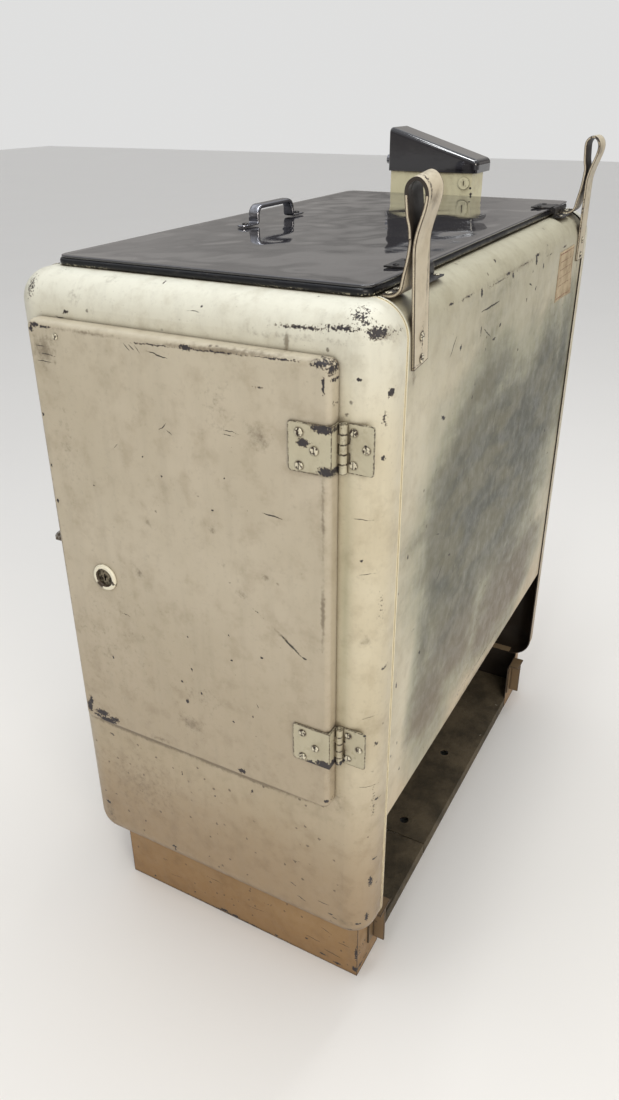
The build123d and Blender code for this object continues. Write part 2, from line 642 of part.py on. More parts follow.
def strap(x_mid, lean):
    """Steel strap bent back on itself into a loop, with a leg and a foot."""
    leg = ribbon(Line((220.2, 834.0), (220.2, 940.0)), x_mid, 1)
    loop_path = Spline(
        [
            (220.2, 939.0),
            (222.3, 955.0),
            (227.2, 970.0),
            (231.0, 983.0),
            (230.2, 994.5),
            (222.3, 1001.2),
            (214.6, 996.5),
            (213.0, 985.0),
            (214.6, 968.0),
            (216.4, 952.0),
        ],
        tangents=[(0, 1), (-0.02, -1)],
    )
    upper = leg + ribbon(loop_path, x_mid, 40)
    turned = Pos(x_mid, 0, 950) * Rot(0, lean, 0) * Pos(-x_mid, 0, -950) * upper
    stem_path = Spline(
        [
            (216.2, 956.0),
            (213.6, 932.0),
            (209.8, 914.0),
            (207.0, 905.0),
            (200.0, 900.6),
            (190.8, 900.4),
        ],
        tangents=[(-0.05, -1), (-1, 0)],
    )
    return turned + ribbon(stem_path, x_mid - lean / 2, 40)


save("strap_near", strap(STRAP_X[0], STRAP_LEAN))
save("strap_far", strap(STRAP_X[1], 0))

# ------------------------------------------------------------------- door
outer = block(END_X + DOOR_GAP, DOOR_FACE_X, DOOR_Y0, DOOR_Y1, DOOR_Z0, DOOR_Z1)
outer = fillet(outer.edges().filter_by(Axis.X), 9)
outer = fillet(outer.edges().group_by(Axis.X)[-1], DOOR_EDGE_R)
hollow = block(
    END_X - 1, DOOR_FACE_X - 1.4, DOOR_Y0 + 1.4, DOOR_Y1 - 1.4, DOOR_Z0 + 1.4, DOOR_Z1 - 1.4
)
hollow = fillet(hollow.edges().filter_by(Axis.X), 7.6)
hollow = fillet(hollow.edges().group_by(Axis.X)[-1], DOOR_EDGE_R - 1.4)
door_skin = outer - hollow - rod_x(395, 410, LOCK_Y, LOCK_Z, 10.4)
save("door_skin", door_skin)

tray = block(PLUG_X, END_X + 5.6, PLUG_Y0, PLUG_Y1, PLUG_Z0, PLUG_Z1)
tray = fillet(tray.edges().group_by(Axis.X)[0], 6)
flange = block(
    END_X + 4.4, END_X + 5.6, DOOR_Y0 + 2.2, DOOR_Y1 - 2.2, DOOR_Z0 + 2.2, DOOR_Z1 - 2.2
)
flange = fillet(flange.edges().filter_by(Axis.X), 7)
room = block(
    PLUG_X + SHEET, END_X + 8, PLUG_Y0 + SHEET, PLUG_Y1 - SHEET, PLUG_Z0 + SHEET, PLUG_Z1 - SHEET
)
room = fillet(room.edges().group_by(Axis.X)[0], 4.8)
door_liner = tray + flange - room - rod_x(330, 350, LOCK_Y, LOCK_Z, 6.6)
save("door_liner", door_liner)

foam = block(
    PLUG_X + 2.4, END_X + 8, PLUG_Y0 + 6, PLUG_Y1 - 6, PLUG_Z0 + 6, PLUG_Z1 - 6
)
foam += block(
    END_X + 5.8, DOOR_FACE_X - 1.6, DOOR_Y0 + 8, DOOR_Y1 - 8, DOOR_Z0 + 8, DOOR_Z1 - 8
)
foam -= rod_x(330, 394, LOCK_Y, LOCK_Z, 6.8)
foam -= rod_x(393, 410, LOCK_Y, LOCK_Z, 11.0)
save("door_insulation", foam)

gasket = block(
    END_X + 0.4, END_X + 4.2, DOOR_Y0 + 3, DOOR_Y1 - 3, DOOR_Z0 + 3, DOOR_Z1 - 3
)
gasket = fillet(gasket.edges().filter_by(Axis.X), 6)
gasket -= block(380, 400, PLUG_Y0 - 7.6, PLUG_Y1 + 7.6, PLUG_Z0 - 8, PLUG_Z1 + 8)
save("door_gasket", gasket)

ring = rod_x(DOOR_FACE_X + 0.1, DOOR_FACE_X + 3.4, LOCK_Y, LOCK_Z, LOCK_RING_R)
ring = fillet(ring.edges().group_by(Axis.X)[-1], 2.2)
ring -= rod_x(DOOR_FACE_X - 1, DOOR_FACE_X + 5, LOCK_Y, LOCK_Z, LOCK_PLUG_R + 0.06)
save("door_lock_ring", ring)

plug = rod_x(396, DOOR_FACE_X + 0.9, LOCK_Y, LOCK_Z, LOCK_PLUG_R)
plug += rod_x(331.8, 396, LOCK_Y, LOCK_Z, 6.0)
plug += rod_x(328.2, 331.8, LOCK_Y, LOCK_Z, 4.0)
plug -= block(400, 410, LOCK_Y - 1.0, LOCK_Y + 1.0, LOCK_Z - 4.5, LOCK_Z + 4.5)
plug -= rod_x(400, 410, LOCK_Y, LOCK_Z, 1.8)
save("door_lock_plug", plug)

cam = block(328.5, 331.5, LOCK_Y - 8, LOCK_Y + 8, LOCK_Z - 8, LOCK_Z + 58)
cam = fillet(cam.edges().filter_by(Axis.X), 7.5)
cam -= rod_x(320, 340, LOCK_Y, LOCK_Z, 4.02)
save("door_lock_cam", cam)

# ----------------------------------------------------------- door hinges
DOOR_SCREWS = ((144.0, 15.0), (160.0, -1.0), (144.0, -18.0))
FRAME_SCREWS = ((191.5, 16.0), (204.5, 1.0), (191.5, -16.0))
px0, py0 = DOOR_PIN_X, DOOR_PIN_Y
seg = DOOR_HINGE_H / 5
door_leaves = []
frame_leaves = []
door_pins = []
door_screws = []
frame_screws = []
for zc in DOOR_HINGE_Z:
    z0 = zc - DOOR_HINGE_H / 2
    z1 = zc + DOOR_HINGE_H / 2
    face = DOOR_FACE_X
    leaf = block(face + 0.1, face + 0.1 + LEAF_T, 132, DOOR_Y1 + 2.6, z0, z1)
    corners = leaf.edges().filter_by(Axis.X).group_by(Axis.Y)[0]
    leaf = fillet(corners, 3)
    leaf += block(px0 - 2, face + 0.1 + LEAF_T, DOOR_Y1 + 0.6, DOOR_Y1 + 2.6, z0, z1)
    plate = block(END_X + 0.15, END_X + 0.15 + LEAF_T, py0 - 1, 212, z0, z1)
    plate = fillet(plate.edges().filter_by(Axis.X).group_by(Axis.Y)[-1], 3)
    for k in range(5):
        a = z0 + k * seg + (0.25 if k else 0)
        b = z0 + (k + 1) * seg - (0.25 if k < 4 else 0)
        if k % 2:
            plate -= block(380, 395, py0 - 5, py0 + 5.5, a - 0.5, b + 0.5)
            knuckle = rod_z(px0, py0, a, b, DOOR_KNUCKLE_R)
            knuckle += block(px0 - 2, px0 + 2.6, DOOR_Y1 + 0.6, py0, a, b)
            leaf += knuckle - rod_z(px0, py0, a - 1, b + 1, DOOR_PIN_R + 0.06)
    for k in (0, 2, 4):
        a = z0 + k * seg + (0.25 if k else 0)
        b = z0 + (k + 1) * seg - (0.25 if k < 4 else 0)
        plate += rod_z(px0, py0, a, b, DOOR_KNUCKLE_R)
    plate -= rod_z(px0, py0, z0 - 1, z1 + 1, DOOR_PIN_R + 0.02)
    door_leaves.append(leaf)
    frame_leaves.append(plate)
    door_pins.append(rod_z(px0, py0, z0 - 0.6, z1 + 0.6, DOOR_PIN_R))
    for y, dz in DOOR_SCREWS:
        spot = Pos(face + 0.15 + LEAF_T, y, zc + dz) * Rot(0, 90, 0)
        door_screws.append(spot * screw_head())
    for y, dz in FRAME_SCREWS:
        spot = Pos(END_X + 0.2 + LEAF_T, y, zc + dz) * Rot(0, 90, 0)
        frame_screws.append(spot * screw_head(3.8, 1.5))
save("door_hinge_door_leaves", *door_leaves)
save("door_hinge_frame_leaves", *frame_leaves)
save("door_hinge_pins", *door_pins)
door_screws.append(Pos(DOOR_FACE_X + 0.05, -144.5, 840.5) * Rot(0, 90, 0) * screw_head(3.4, 1.4))
save("door_screws", *door_screws)

# --------------------------------------------------- screws on the cabinet
body_screws = list(frame_screws)
for cx in LID_HINGE_X:
    for dx in (-14, 14):
        body_screws.append(Pos(cx + dx, 199.6, PANEL_TOP + 1.95) * screw_head(3.2, 1.2))
lean = math.tan(math.radians(STRAP_LEAN))
for x_mid, slope in ((STRAP_X[0], lean), (STRAP_X[1], 0)):
    for z in (862, 841):
        x = x_mid - (950 - z) * slope
        body_screws.append(Pos(x, 221.75, z) * Rot(-90, 0, 0) * screw_head())
    for dx in (-9, 9):
        body_screws.append(Pos(x_mid + dx, 195.4, 902.0) * screw_head(3.4, 1.4))
save("cabinet_screws", *body_screws)

# ---------------------------------------------------------- bottle opener
ob = block(OPENER_X - 15, OPENER_X + 15, -BACK_Y - 4.2, -BACK_Y - 0.8, 522, 586)
ob = fillet(ob.edges().filter_by(Axis.Y), 6)
arch = rod_z(OPENER_X, -BACK_Y - 4, 556, 562, 26) - rod_z(OPENER_X, -BACK_Y - 4, 550, 570, 14)
arch &= block(OPENER_X - 15, OPENER_X + 15, -BACK_Y - 40, -BACK_Y - 3, 550, 570)
hook = block(OPENER_X - 5, OPENER_X + 5, -BACK_Y - 12, -BACK_Y - 3, 540, 546)
save("bottle_opener", ob + arch + hook)
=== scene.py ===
import math

import bpy
from mathutils import Matrix, Vector, noise


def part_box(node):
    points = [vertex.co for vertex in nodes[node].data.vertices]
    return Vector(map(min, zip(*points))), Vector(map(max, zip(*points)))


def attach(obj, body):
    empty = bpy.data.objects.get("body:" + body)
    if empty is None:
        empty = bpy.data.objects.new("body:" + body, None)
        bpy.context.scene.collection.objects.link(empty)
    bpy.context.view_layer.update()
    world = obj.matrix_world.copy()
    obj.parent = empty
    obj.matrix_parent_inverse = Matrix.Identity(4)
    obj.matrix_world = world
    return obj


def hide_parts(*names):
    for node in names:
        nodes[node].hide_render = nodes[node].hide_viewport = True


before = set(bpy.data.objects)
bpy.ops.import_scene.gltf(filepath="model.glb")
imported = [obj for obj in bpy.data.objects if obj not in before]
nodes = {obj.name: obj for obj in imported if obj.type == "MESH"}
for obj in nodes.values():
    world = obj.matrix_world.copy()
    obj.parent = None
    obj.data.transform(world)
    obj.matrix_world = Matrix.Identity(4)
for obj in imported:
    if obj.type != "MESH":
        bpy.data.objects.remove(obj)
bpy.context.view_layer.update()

# ---- places
NEAR_LOW, NEAR_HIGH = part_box("cap_near")
FAR_LOW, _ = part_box("cap_far")
MIDDLE = Vector(((FAR_LOW.x + NEAR_HIGH.x) / 2, (NEAR_LOW.y + NEAR_HIGH.y) / 2, 0))


def at(x, y, z):
    """Millimetres from the middle of the cabinet's foot, as a point in the row frame."""
    return Vector((MIDDLE.x + x / 1000, MIDDLE.y + y / 1000, z / 1000))


def srgb(red, green, blue):
    """A screen colour, 0 to 255, as the linear colour that a shader takes."""
    out = []
    for value in (red, green, blue):
        c = value / 255
        out.append(c / 12.92 if c <= 0.04045 else ((c + 0.055) / 1.055) ** 2.4)
    return (*out, 1.0)


# ---- shader building
class Finish:
    """One procedural material: a Principled surface with helpers to drive it."""

    def __init__(self, name, metallic=0.0, ior=1.5, coat=0.0, coat_roughness=0.1):
        self.material = bpy.data.materials.new(name)
        self.material.use_nodes = True
        self.tree = self.material.node_tree
        self.tree.nodes.clear()
        self.skin = self.tree.nodes.new("ShaderNodeBsdfPrincipled")
        out = self.tree.nodes.new("ShaderNodeOutputMaterial")
        self.tree.links.new(self.skin.outputs[0], out.inputs["Surface"])
        self.skin.inputs["Metallic"].default_value = metallic
        self.skin.inputs["IOR"].default_value = ior
        self.skin.inputs["Coat Weight"].default_value = coat
        self.skin.inputs["Coat Roughness"].default_value = coat_roughness
        self.place = self.tree.nodes.new("ShaderNodeTexCoord").outputs["Object"]
        self.normal = None

    def put(self, socket, value):
        if isinstance(value, bpy.types.NodeSocket):
            self.tree.links.new(value, socket)
        else:
            socket.default_value = value

    def math(self, kind, a, b=0.0, c=0.0):
        node = self.tree.nodes.new("ShaderNodeMath")
        node.operation = kind
        for socket, value in zip(node.inputs, (a, b, c)):
            self.put(socket, value)
        return node.outputs[0]

    def times(self, a, b):
        return self.math("MULTIPLY", a, b)

    def vector(self, kind, a, b=(0, 0, 0), scale=None):
        node = self.tree.nodes.new("ShaderNodeVectorMath")
        node.operation = kind
        self.put(node.inputs[0], a)
        self.put(node.inputs[1], b)
        if scale is not None:
            self.put(node.inputs["Scale"], scale)
        return node.outputs["Value"] if kind in ("LENGTH", "DOT_PRODUCT") else node.outputs[0]

    def axis(self, which, where=None):
        node = self.tree.nodes.new("ShaderNodeSeparateXYZ")
        self.put(node.inputs[0], self.place if where is None else where)
        return node.outputs[which]

    def stretched(self, x, y, z, where=None):
        """The coordinate scaled along each axis, for grain that runs one way."""
        return self.vector("MULTIPLY", self.place if where is None else where, (x, y, z))

    def noise(self, scale, detail=3.0, rough=0.55, where=None, distortion=0.0, colour=False):
        node = self.tree.nodes.new("ShaderNodeTexNoise")
        self.put(node.inputs["Vector"], self.place if where is None else where)
        node.inputs["Scale"].default_value = scale
        node.inputs["Detail"].default_value = detail
        node.inputs["Roughness"].default_value = rough
        node.inputs["Distortion"].default_value = distortion
        return node.outputs["Color" if colour else "Fac"]

    def cells(self, scale, where=None, output="Distance"):
        node = self.tree.nodes.new("ShaderNodeTexVoronoi")
        self.put(node.inputs["Vector"], self.place if where is None else where)
        node.inputs["Scale"].default_value = scale
        return node.outputs[output]

    def span(self, value, low, high, to_low=0.0, to_high=1.0):
        node = self.tree.nodes.new("ShaderNodeMapRange")
        node.interpolation_type = "SMOOTHSTEP"
        keys = ("Value", "From Min", "From Max", "To Min", "To Max")
        for key, v in zip(keys, (value, low, high, to_low, to_high)):
            self.put(node.inputs[key], v)
        return node.outputs[0]

    def mix(self, share, a, b, kind="MIX"):
        node = self.tree.nodes.new("ShaderNodeMix")
        node.data_type = "RGBA"
        node.blend_type = kind
        self.put(node.inputs[0], share)
        self.put(node.inputs[6], a)
        self.put(node.inputs[7], b)
        return node.outputs[2]

    def warped(self, scale, amount, detail=2.0):
        """The coordinate pushed about by noise, so that edges drawn with it are ragged."""
        push = self.vector("SUBTRACT", self.noise(scale, detail, 0.6, colour=True), (0.5, 0.5, 0.5))
        return self.vector("ADD", self.place, self.vector("SCALE", push, scale=amount))

    def marks(self, marks, where):
        """The strongest of a list of soft-edged spots: (x, y, z, half sizes, strength, turn)."""
        total = None
        for x, y, z, half, strength, turn in marks:
            node = self.tree.nodes.new("ShaderNodeMapping")
            node.vector_type = "TEXTURE"
            self.put(node.inputs["Vector"], where)
            node.inputs["Location"].default_value = at(x, y, z)
            node.inputs["Rotation"].default_value = [math.radians(t) for t in turn]
            node.inputs["Scale"].default_value = [h / 1000 for h in half]
            ball = self.tree.nodes.new("ShaderNodeTexGradient")
            ball.gradient_type = "SPHERICAL"
            self.put(ball.inputs[0], node.outputs[0])
            spot = self.times(ball.outputs["Fac"], strength)
            total = spot if total is None else self.math("MAXIMUM", total, spot)
        return total

    def openness(self, reach, inside=False):
        """1 in the open and less in a crevice, or on a sharp edge when measured inside."""
        node = self.tree.nodes.new("ShaderNodeAmbientOcclusion")
        node.samples = 4
        node.inside = inside
        node.only_local = inside
        node.inputs["Distance"].default_value = reach
        return node.outputs["AO"]

    def faces_in(self, centre, across):
        """1 on faces that look towards the line through centre; across is 0 along that line."""
        looks = self.tree.nodes.new("ShaderNodeNewGeometry").outputs["True Normal"]
        away = self.vector("MULTIPLY", self.vector("SUBTRACT", self.place, centre), across)
        return self.math("LESS_THAN", self.vector("DOT_PRODUCT", looks, away), -0.0005)

    def rough(self, value):
        self.put(self.skin.inputs["Roughness"], value)

    def colour(self, value):
        self.put(self.skin.inputs["Base Color"], value)

    def bump(self, height, depth):
        """Adds relief of the given depth in metres."""
        node = self.tree.nodes.new("ShaderNodeBump")
        node.inputs["Distance"].default_value = depth
        self.put(node.inputs["Height"], height)
        if self.normal is not None:
            self.tree.links.new(self.normal, node.inputs["Normal"])
        self.normal = node.outputs[0]
        self.put(self.skin.inputs["Normal"], self.normal)


# Where each marked face lies, and how far a mark reaches through it, in mm.
DOOR_X = 404.0
CAP_X = 386.0
PLINTH_X = 359
BACK_Y = 218.6
MARK_DEPTH = 60.0


def on_end(y, z, length, width, strength=1.0, angle=0.0, x=CAP_X):
    """A mark on the near end. angle turns it up from level, in degrees."""
    return (x, y, z, (MARK_DEPTH, length / 2, width / 2), strength, (angle, 0, 0))


def on_door(y, z, length, width, strength=1.0, angle=0.0):
    """A mark on the door's face."""
    return on_end(y, z, length, width, strength, angle, DOOR_X)


def on_plinth(y, z, length, width, strength=1.0, angle=0.0, x=PLINTH_X):
    """A mark on the plinth's near end."""
    return on_end(y, z, length, width, strength, angle, x)


def on_back(x, z, length, width, strength=1.0, angle=0.0):
    """A mark on the back panel."""
    return (x, BACK_Y, z, (length / 2, MARK_DEPTH, width / 2), strength, (0, -angle, 0))


def spot(x, y, z, reach_x, reach_y, reach_z, strength):
    """A mark anywhere, given by its half sizes."""
    return (x, y, z, (reach_x, reach_y, reach_z), strength, (0, 0, 0))


def each(kind, rows):
    """One mark of a kind for each row of its values."""
    return [kind(*row) for row in rows]


DARK_METAL = srgb(38, 39, 46)
GRIME_AND_SHADE = srgb(104, 90, 70)


def enamel(
    name,
    tone=(214, 205, 180),
    other=(201, 190, 163),
    shaded_low_tone=(148, 124, 94),
    low_from=0.52,
    low_to=0.12,
    lit_top_tone=(226, 226, 213),
    chips=(),
    scratches=(),
    grime_and_shade=(),
    smear=(),
    tinted=(),
    specks=0.7,
    gloss=0.40,
    raggedness=0.005,
    edges=0.0,
    hollow=(),
    gap_shade=(70, 56, 40),
    crack_shade=(58, 46, 34),
    painted_glints=(),
):
    """Old cream enamel over steel: uneven, soiled, scratched, and chipped to dark metal, with painted
    light and shade: a lit top, a shaded foot, and shade in crevices, on down-turned edges and on inward
    faces.
    """
    f = Finish(name)
    wobble = f.warped(90, 0.004)
    ragged = f.warped(260, raggedness, 4.0)
    height = f.axis(2)
    cream = f.mix(f.span(f.noise(5.5, 4, 0.6), 0.36, 0.64), srgb(*tone), srgb(*other))
    # painted highlight: towards the top the colour turns to lit_top_tone, brighter and cooler on the cap's
    # top roll, as if lit from overhead
    cream = f.mix(f.span(height, 0.76, 0.89, 0.0, 0.75), cream, srgb(*lit_top_tone))
    # painted shade: towards the floor the colour turns darker and warmer, to shaded_low_tone
    low = f.span(height, low_from, low_to, 0.0, 0.9)
    cream = f.mix(low, cream, srgb(*shaded_low_tone))
    if tinted:
        cream = f.mix(f.span(f.marks(tinted, wobble), 0.0, 0.6, 0.0, 0.75), cream, srgb(162, 160, 132))
    clouds = f.noise(38, 5, 0.62)
    cream = f.mix(f.span(clouds, 0.45, 0.75, 0.0, 0.26), cream, srgb(168, 152, 124), "MULTIPLY")
    mottle = f.noise(150, 4, 0.7)
    cream = f.mix(f.span(mottle, 0.52, 0.78, 0.0, 0.16), cream, srgb(110, 98, 80))
    brushed = f.noise(55, 4, 0.6, f.stretched(1.0, 1.0, 0.10))
    cream = f.mix(f.span(brushed, 0.45, 0.75, 0.0, 0.10), cream, srgb(120, 112, 96))

    if smear:
        wiped = f.noise(16, 6, 0.64, f.stretched(0.45, 1.0, 1.3, f.warped(5, 0.05)))
        fine = f.noise(190, 5, 0.72, f.stretched(0.7, 1.0, 0.28))
        field = f.marks(smear, f.warped(6, 0.09, 3.0))
        cover = f.math("MULTIPLY_ADD", f.math("SUBTRACT", wiped, 0.5), 0.95, field)
        cover = f.math("MULTIPLY_ADD", f.math("SUBTRACT", fine, 0.5), 0.30, cover)
        halo = f.span(field, 0.0, 0.28, 0.0, 0.75)
        cream = f.mix(halo, cream, srgb(152, 152, 130))
        dark = f.mix(f.span(wiped, 0.38, 0.62), srgb(72, 74, 65), srgb(106, 103, 84))
        dark = f.mix(f.span(height, 0.52, 0.32), dark, srgb(116, 103, 84))
        cream = f.mix(f.span(cover, 0.06, 0.56, 0.0, 0.94), cream, dark)
        rubbed = f.span(f.math("MULTIPLY_ADD", mottle, 0.35, fine), 0.72, 0.92, 0.0, 0.30)
        cream = f.mix(f.times(rubbed, f.span(field, 0.1, 0.5)), cream, srgb(176, 174, 160))

    # grime_and_shade marks darken towards GRIME_AND_SHADE: dirt, and on some faces painted shadow and
    # painted shade
    if grime_and_shade:
        darkening = f.marks(grime_and_shade, ragged)
        darkening = f.math("MULTIPLY_ADD", f.math("SUBTRACT", f.noise(150, 5, 0.7), 0.5), 0.9, darkening)
        cream = f.mix(f.span(darkening, 0.14, 0.66, 0.0, 0.70), cream, GRIME_AND_SHADE)

    # painted shade: rounded edges that turn down go dark brown, darkest where they face the floor
    slope = f.axis(2, f.tree.nodes.new("ShaderNodeNewGeometry").outputs["Normal"])
    cream = f.mix(f.span(slope, -0.12, -0.75, 0.0, 0.80), cream, srgb(92, 72, 50))
    # painted highlight: bright lines along the seam bead and where it meets the top edge
    if painted_glints:
        cream = f.mix(f.span(f.marks(painted_glints, wobble), 0.2, 0.6, 0.0, 0.85), cream, srgb(240, 228, 192))

    # scattered pinholes and rust specks, thicker low down
    dots = f.cells(70, ragged)
    dice = f.axis(0, f.cells(70, ragged, "Color"))
    chance = f.math("MULTIPLY_ADD", low, -0.10, 0.90)
    near = f.span(dots, 0.17, 0.08)
    speck = f.times(near, f.math("GREATER_THAN", dice, chance))
    cream = f.mix(f.times(speck, specks), cream, srgb(70, 55, 42))

    # painted shade in corners and round fittings, darkest where ambient occlusion is lowest
    crevice_shade = f.span(f.openness(0.007), 0.86, 0.42, 0.0, 0.80)
    cream = f.mix(crevice_shade, cream, srgb(*gap_shade))
    if edges:
        # painted shade in the tightest cracks, from a shorter ambient occlusion
        tight_shade = f.span(f.openness(0.0018), 0.95, 0.62, 0.0, 0.85)
        cream = f.mix(tight_shade, cream, srgb(*crack_shade))

    worn = f.math("SUBTRACT", f.noise(430, 4, 0.68), 0.5)
    bare = f.times(crevice_shade, 0.1)
    if edges:
        ridge = f.span(f.openness(0.0012, inside=True), 0.93, 0.70)
        ridge = f.math("MULTIPLY_ADD", worn, 1.3, f.times(ridge, edges))
        bare = f.span(ridge, 0.42, 0.52)
        cream = f.mix(bare, cream, srgb(74, 62, 50))
    if scratches:
        line = f.math("MULTIPLY_ADD", worn, 0.7, f.marks(scratches, wobble))
        cut = f.span(line, 0.20, 0.32)
        cream = f.mix(f.times(cut, 0.92), cream, srgb(46, 42, 40))
        bare = f.math("MAXIMUM", bare, cut)
    if chips:
        patch = f.math("MULTIPLY_ADD", worn, 1.5, f.marks(chips, ragged))
        cream = f.mix(f.span(patch, 0.28, 0.38, 0.0, 0.9), cream, srgb(112, 94, 72))
        core = f.span(patch, 0.36, 0.42)
        cream = f.mix(core, cream, f.mix(f.noise(300, 2), DARK_METAL, srgb(66, 58, 56)))
        bare = f.math("MAXIMUM", bare, core)
    if hollow:
        # painted shade: faces that look inwards, into the cabinet or the strap's loop, go near black
        centre, across = hollow
        inner_shade = f.mix(f.noise(24, 5, 0.7), srgb(30, 27, 24), srgb(62, 52, 42))
        cream = f.mix(f.faces_in(centre, across), cream, inner_shade)

    f.colour(cream)
    sheen = f.span(f.noise(60, 4, 0.6), 0.3, 0.7, gloss - 0.07, gloss + 0.12)
    f.rough(f.math("MULTIPLY_ADD", bare, 0.18, sheen))
    f.bump(f.noise(7, 2, 0.5), 0.0030)
    f.bump(f.noise(46, 3, 0.5, f.stretched(1.0, 1.0, 0.55)), 0.00055)
    f.bump(f.noise(240, 3, 0.6, f.stretched(1.0, 1.0, 0.4)), 0.00010)
    f.bump(f.noise(700, 2, 0.6), 0.00006)
    f.bump(f.math("SUBTRACT", 1.0, bare), 0.00035)
    return f.material


# ---- wear, dirt, painted shadow and painted shade seen on each face
DOOR_CHIPS = each(on_door, [
    (21, 849, 26, 9, 0.75), (165, 852, 34, 13, 0.66), (174, 848, 14, 20, 0.6), (-172, 850, 22, 8, 0.75),
    (-158, 849, 26, 5, 0.7), (-177, 846, 10, 14, 0.7), (168, 833, 4.5, 26, 0.95), (176, 838, 6, 7, 0.8),
    (177, 816, 7, 12, 0.7), (-156, 347, 34, 15, 0.95), (-136, 343, 24, 12, 0.8), (-172, 362, 9, 22, 0.8),
    (-144, 840, 5, 5, 0.9), (-176, 351, 12, 30), (-148, 337, 42, 14), (-165, 340, 20, 9, 0.8),
    (59, 341, 16, 12, 0.85), (172, 343, 9, 8, 0.9), (50, 849, 120, 3.4, 0.62, 1.8),
    (-20, 847, 90, 3.2, 0.6, 1.8), (120, 851, 80, 3.2, 0.62, 1.8), (-14, 418, 7, 9), (7, 437, 5, 5),
    (-20, 446, 5, 6, 0.8), (-45, 726, 3.4, 3.4), (-118, 678, 3.2, 3.2), (40, 683, 4, 3.6),
    (-22, 709, 3.4, 3.4, 0.9), (57, 722, 3.2, 3.6), (53, 500, 6, 4.5, 0.9), (51, 533, 3.6, 3.6),
    (93, 517, 5, 4.5, 0.8), (-4, 468, 5, 8, 0.7), (-124, 445, 6, 7, 0.75), (78, 430, 4, 5, 0.8),
    (51, 412, 4, 4), (102, 822, 26, 5, 0.42), (-179, 751, 4, 6, 0.9), (-178, 690, 4, 7, 0.9),
    (-177, 647, 4, 7, 0.9), (-6, 513, 4, 4, 0.8),
])
DOOR_SCRATCHES = each(on_door, [
    (130, 545, 56, 5, 0.45, -37), (90, 574, 40, 5, 0.30, -35), (146, 534, 9, 3.2, 1.0, -20),
    (-14, 838, 32, 1.8, 0.9, -12), (-51, 841, 16, 1.5, 0.75, -42), (-45, 841, 14, 1.5, 0.75, -44),
    (-38, 840, 13, 1.4, 0.7, -44), (112, 693, 30, 2.0, 0.85, -5), (66, 773, 26, 1.6, 0.55, -4),
    (64, 769, 20, 1.5, 0.5, -6), (-15, 764, 24, 1.8, 0.5, 40), (-8, 760, 16, 1.6, 0.5, -30),
    (-80, 731, 16, 1.5, 0.45, 48), (-165, 812, 30, 1.8, 0.6, 2), (-160, 820, 40, 1.6, 0.5, -3),
    (-168, 828, 26, 1.6, 0.5, 3), (-95, 516, 26, 1.4, 0.4, -4), (85, 448, 12, 1.6, 0.5, -60),
])
# the line at z 330 along the door's lower edge is painted shadow with dirt, and the broad faint mark at y
# -130, z 470 is painted shade over the left half
DOOR_GRIME_AND_SHADE = each(on_door, [
    (-163, 824, 52, 56, 0.62), (100, 774, 44, 54, 0.5), (55, 800, 60, 90, 0.28), (-11, 384, 60, 44, 0.5),
    (-60, 341, 60, 12, 0.5), (168, 590, 8, 120, 0.75), (168, 700, 7, 170, 0.5),
    (60, 851, 250, 9, 0.75, 1.8), (-100, 849, 130, 8, 0.55), (-67, 579, 20, 34, 0.42),
    (-119, 561, 44, 44, 0.46), (10, 430, 120, 60, 0.28), (-130, 450, 60, 120, 0.26),
    (-150, 720, 60, 200, 0.26), (38, 659, 16, 16, 0.5), (-46, 648, 16, 16, 0.5), (50, 620, 12, 12, 0.5),
    (102, 620, 16, 12, 0.6), (116, 616, 8, 8, 0.6), (176, 400, 10, 160, 0.45), (-183, 600, 12, 520, 0.6),
    (-130, 470, 300, 420, 0.20), (0, 330, 700, 7, 1.2), (125, 549, 60, 7, 0.7, -37),
    (72, 590, 30, 14, 0.5, -35),
])
END_CHIPS = each(on_end, [
    (-162, 902, 26, 12, 0.5), (-192, 884, 24, 34, 0.5), (141, 877, 110, 8, 0.52, 2),
    (176, 880, 60, 11, 0.60, 2), (188, 891, 34, 24, 0.50), (196, 886, 22, 12, 0.52),
    (206, 878, 26, 17, 0.82), (222, 877, 30, 9, 0.62), (204, 902, 5, 5, 0.9), (26, 884, 4, 4, 0.9),
    (-29, 898, 4, 4, 0.8), (-143, 862, 14, 6, 0.75), (194, 837, 7, 4), (217, 824, 5, 14, 0.95),
    (214, 800, 7, 26, 0.5), (225, 850, 9, 60, 0.5), (228, 806, 8, 50, 0.46), (214, 762, 5, 6),
    (218, 336, 5, 6), (218, 239, 5, 5), (216, 203, 5, 30, 0.95), (214, 142, 5, 24, 0.85),
    (-188, 161, 12, 10, 0.95), (-163, 295, 14, 8, 0.5), (2, 259, 4, 4, 0.95), (60, 293, 6, 16, 0.6, -20),
    (-74, 130, 16, 8, 0.75), (-74, 125, 5, 16, 0.6), (170, 136, 12, 4, 0.8), (-49, 275, 4, 14, 0.6),
    (205, 132, 12, 5, 0.9), (195, 118, 14, 5, 0.8), (60, 103, 300, 7, 0.5), (216, 420, 5, 10, 0.8),
    (219, 520, 4, 12, 0.7), (200, 655, 4, 4, 0.8), (216, 600, 6, 60, 0.40), (216, 330, 6, 90, 0.42),
])
END_SCRATCHES = each(on_end, [
    (116, 161, 14, 1.8, 0.9, -24), (128, 141, 18, 2.0, 0.9, -20), (160, 150, 22, 1.6, 0.8, -3),
    (176, 132, 12, 1.8, 0.8, -6), (199, 700, 30, 1.5, 0.5, -4), (205, 640, 24, 1.4, 0.45, 3),
    (-152, 856, 20, 1.6, 0.7, -8), (20, 879, 30, 1.4, 0.45, 0), (210, 460, 24, 1.4, 0.5, 8),
    (212, 360, 30, 1.4, 0.5, -6), (120, 204, 26, 1.4, 0.4, 10), (-120, 210, 40, 1.4, 0.35, -8),
])
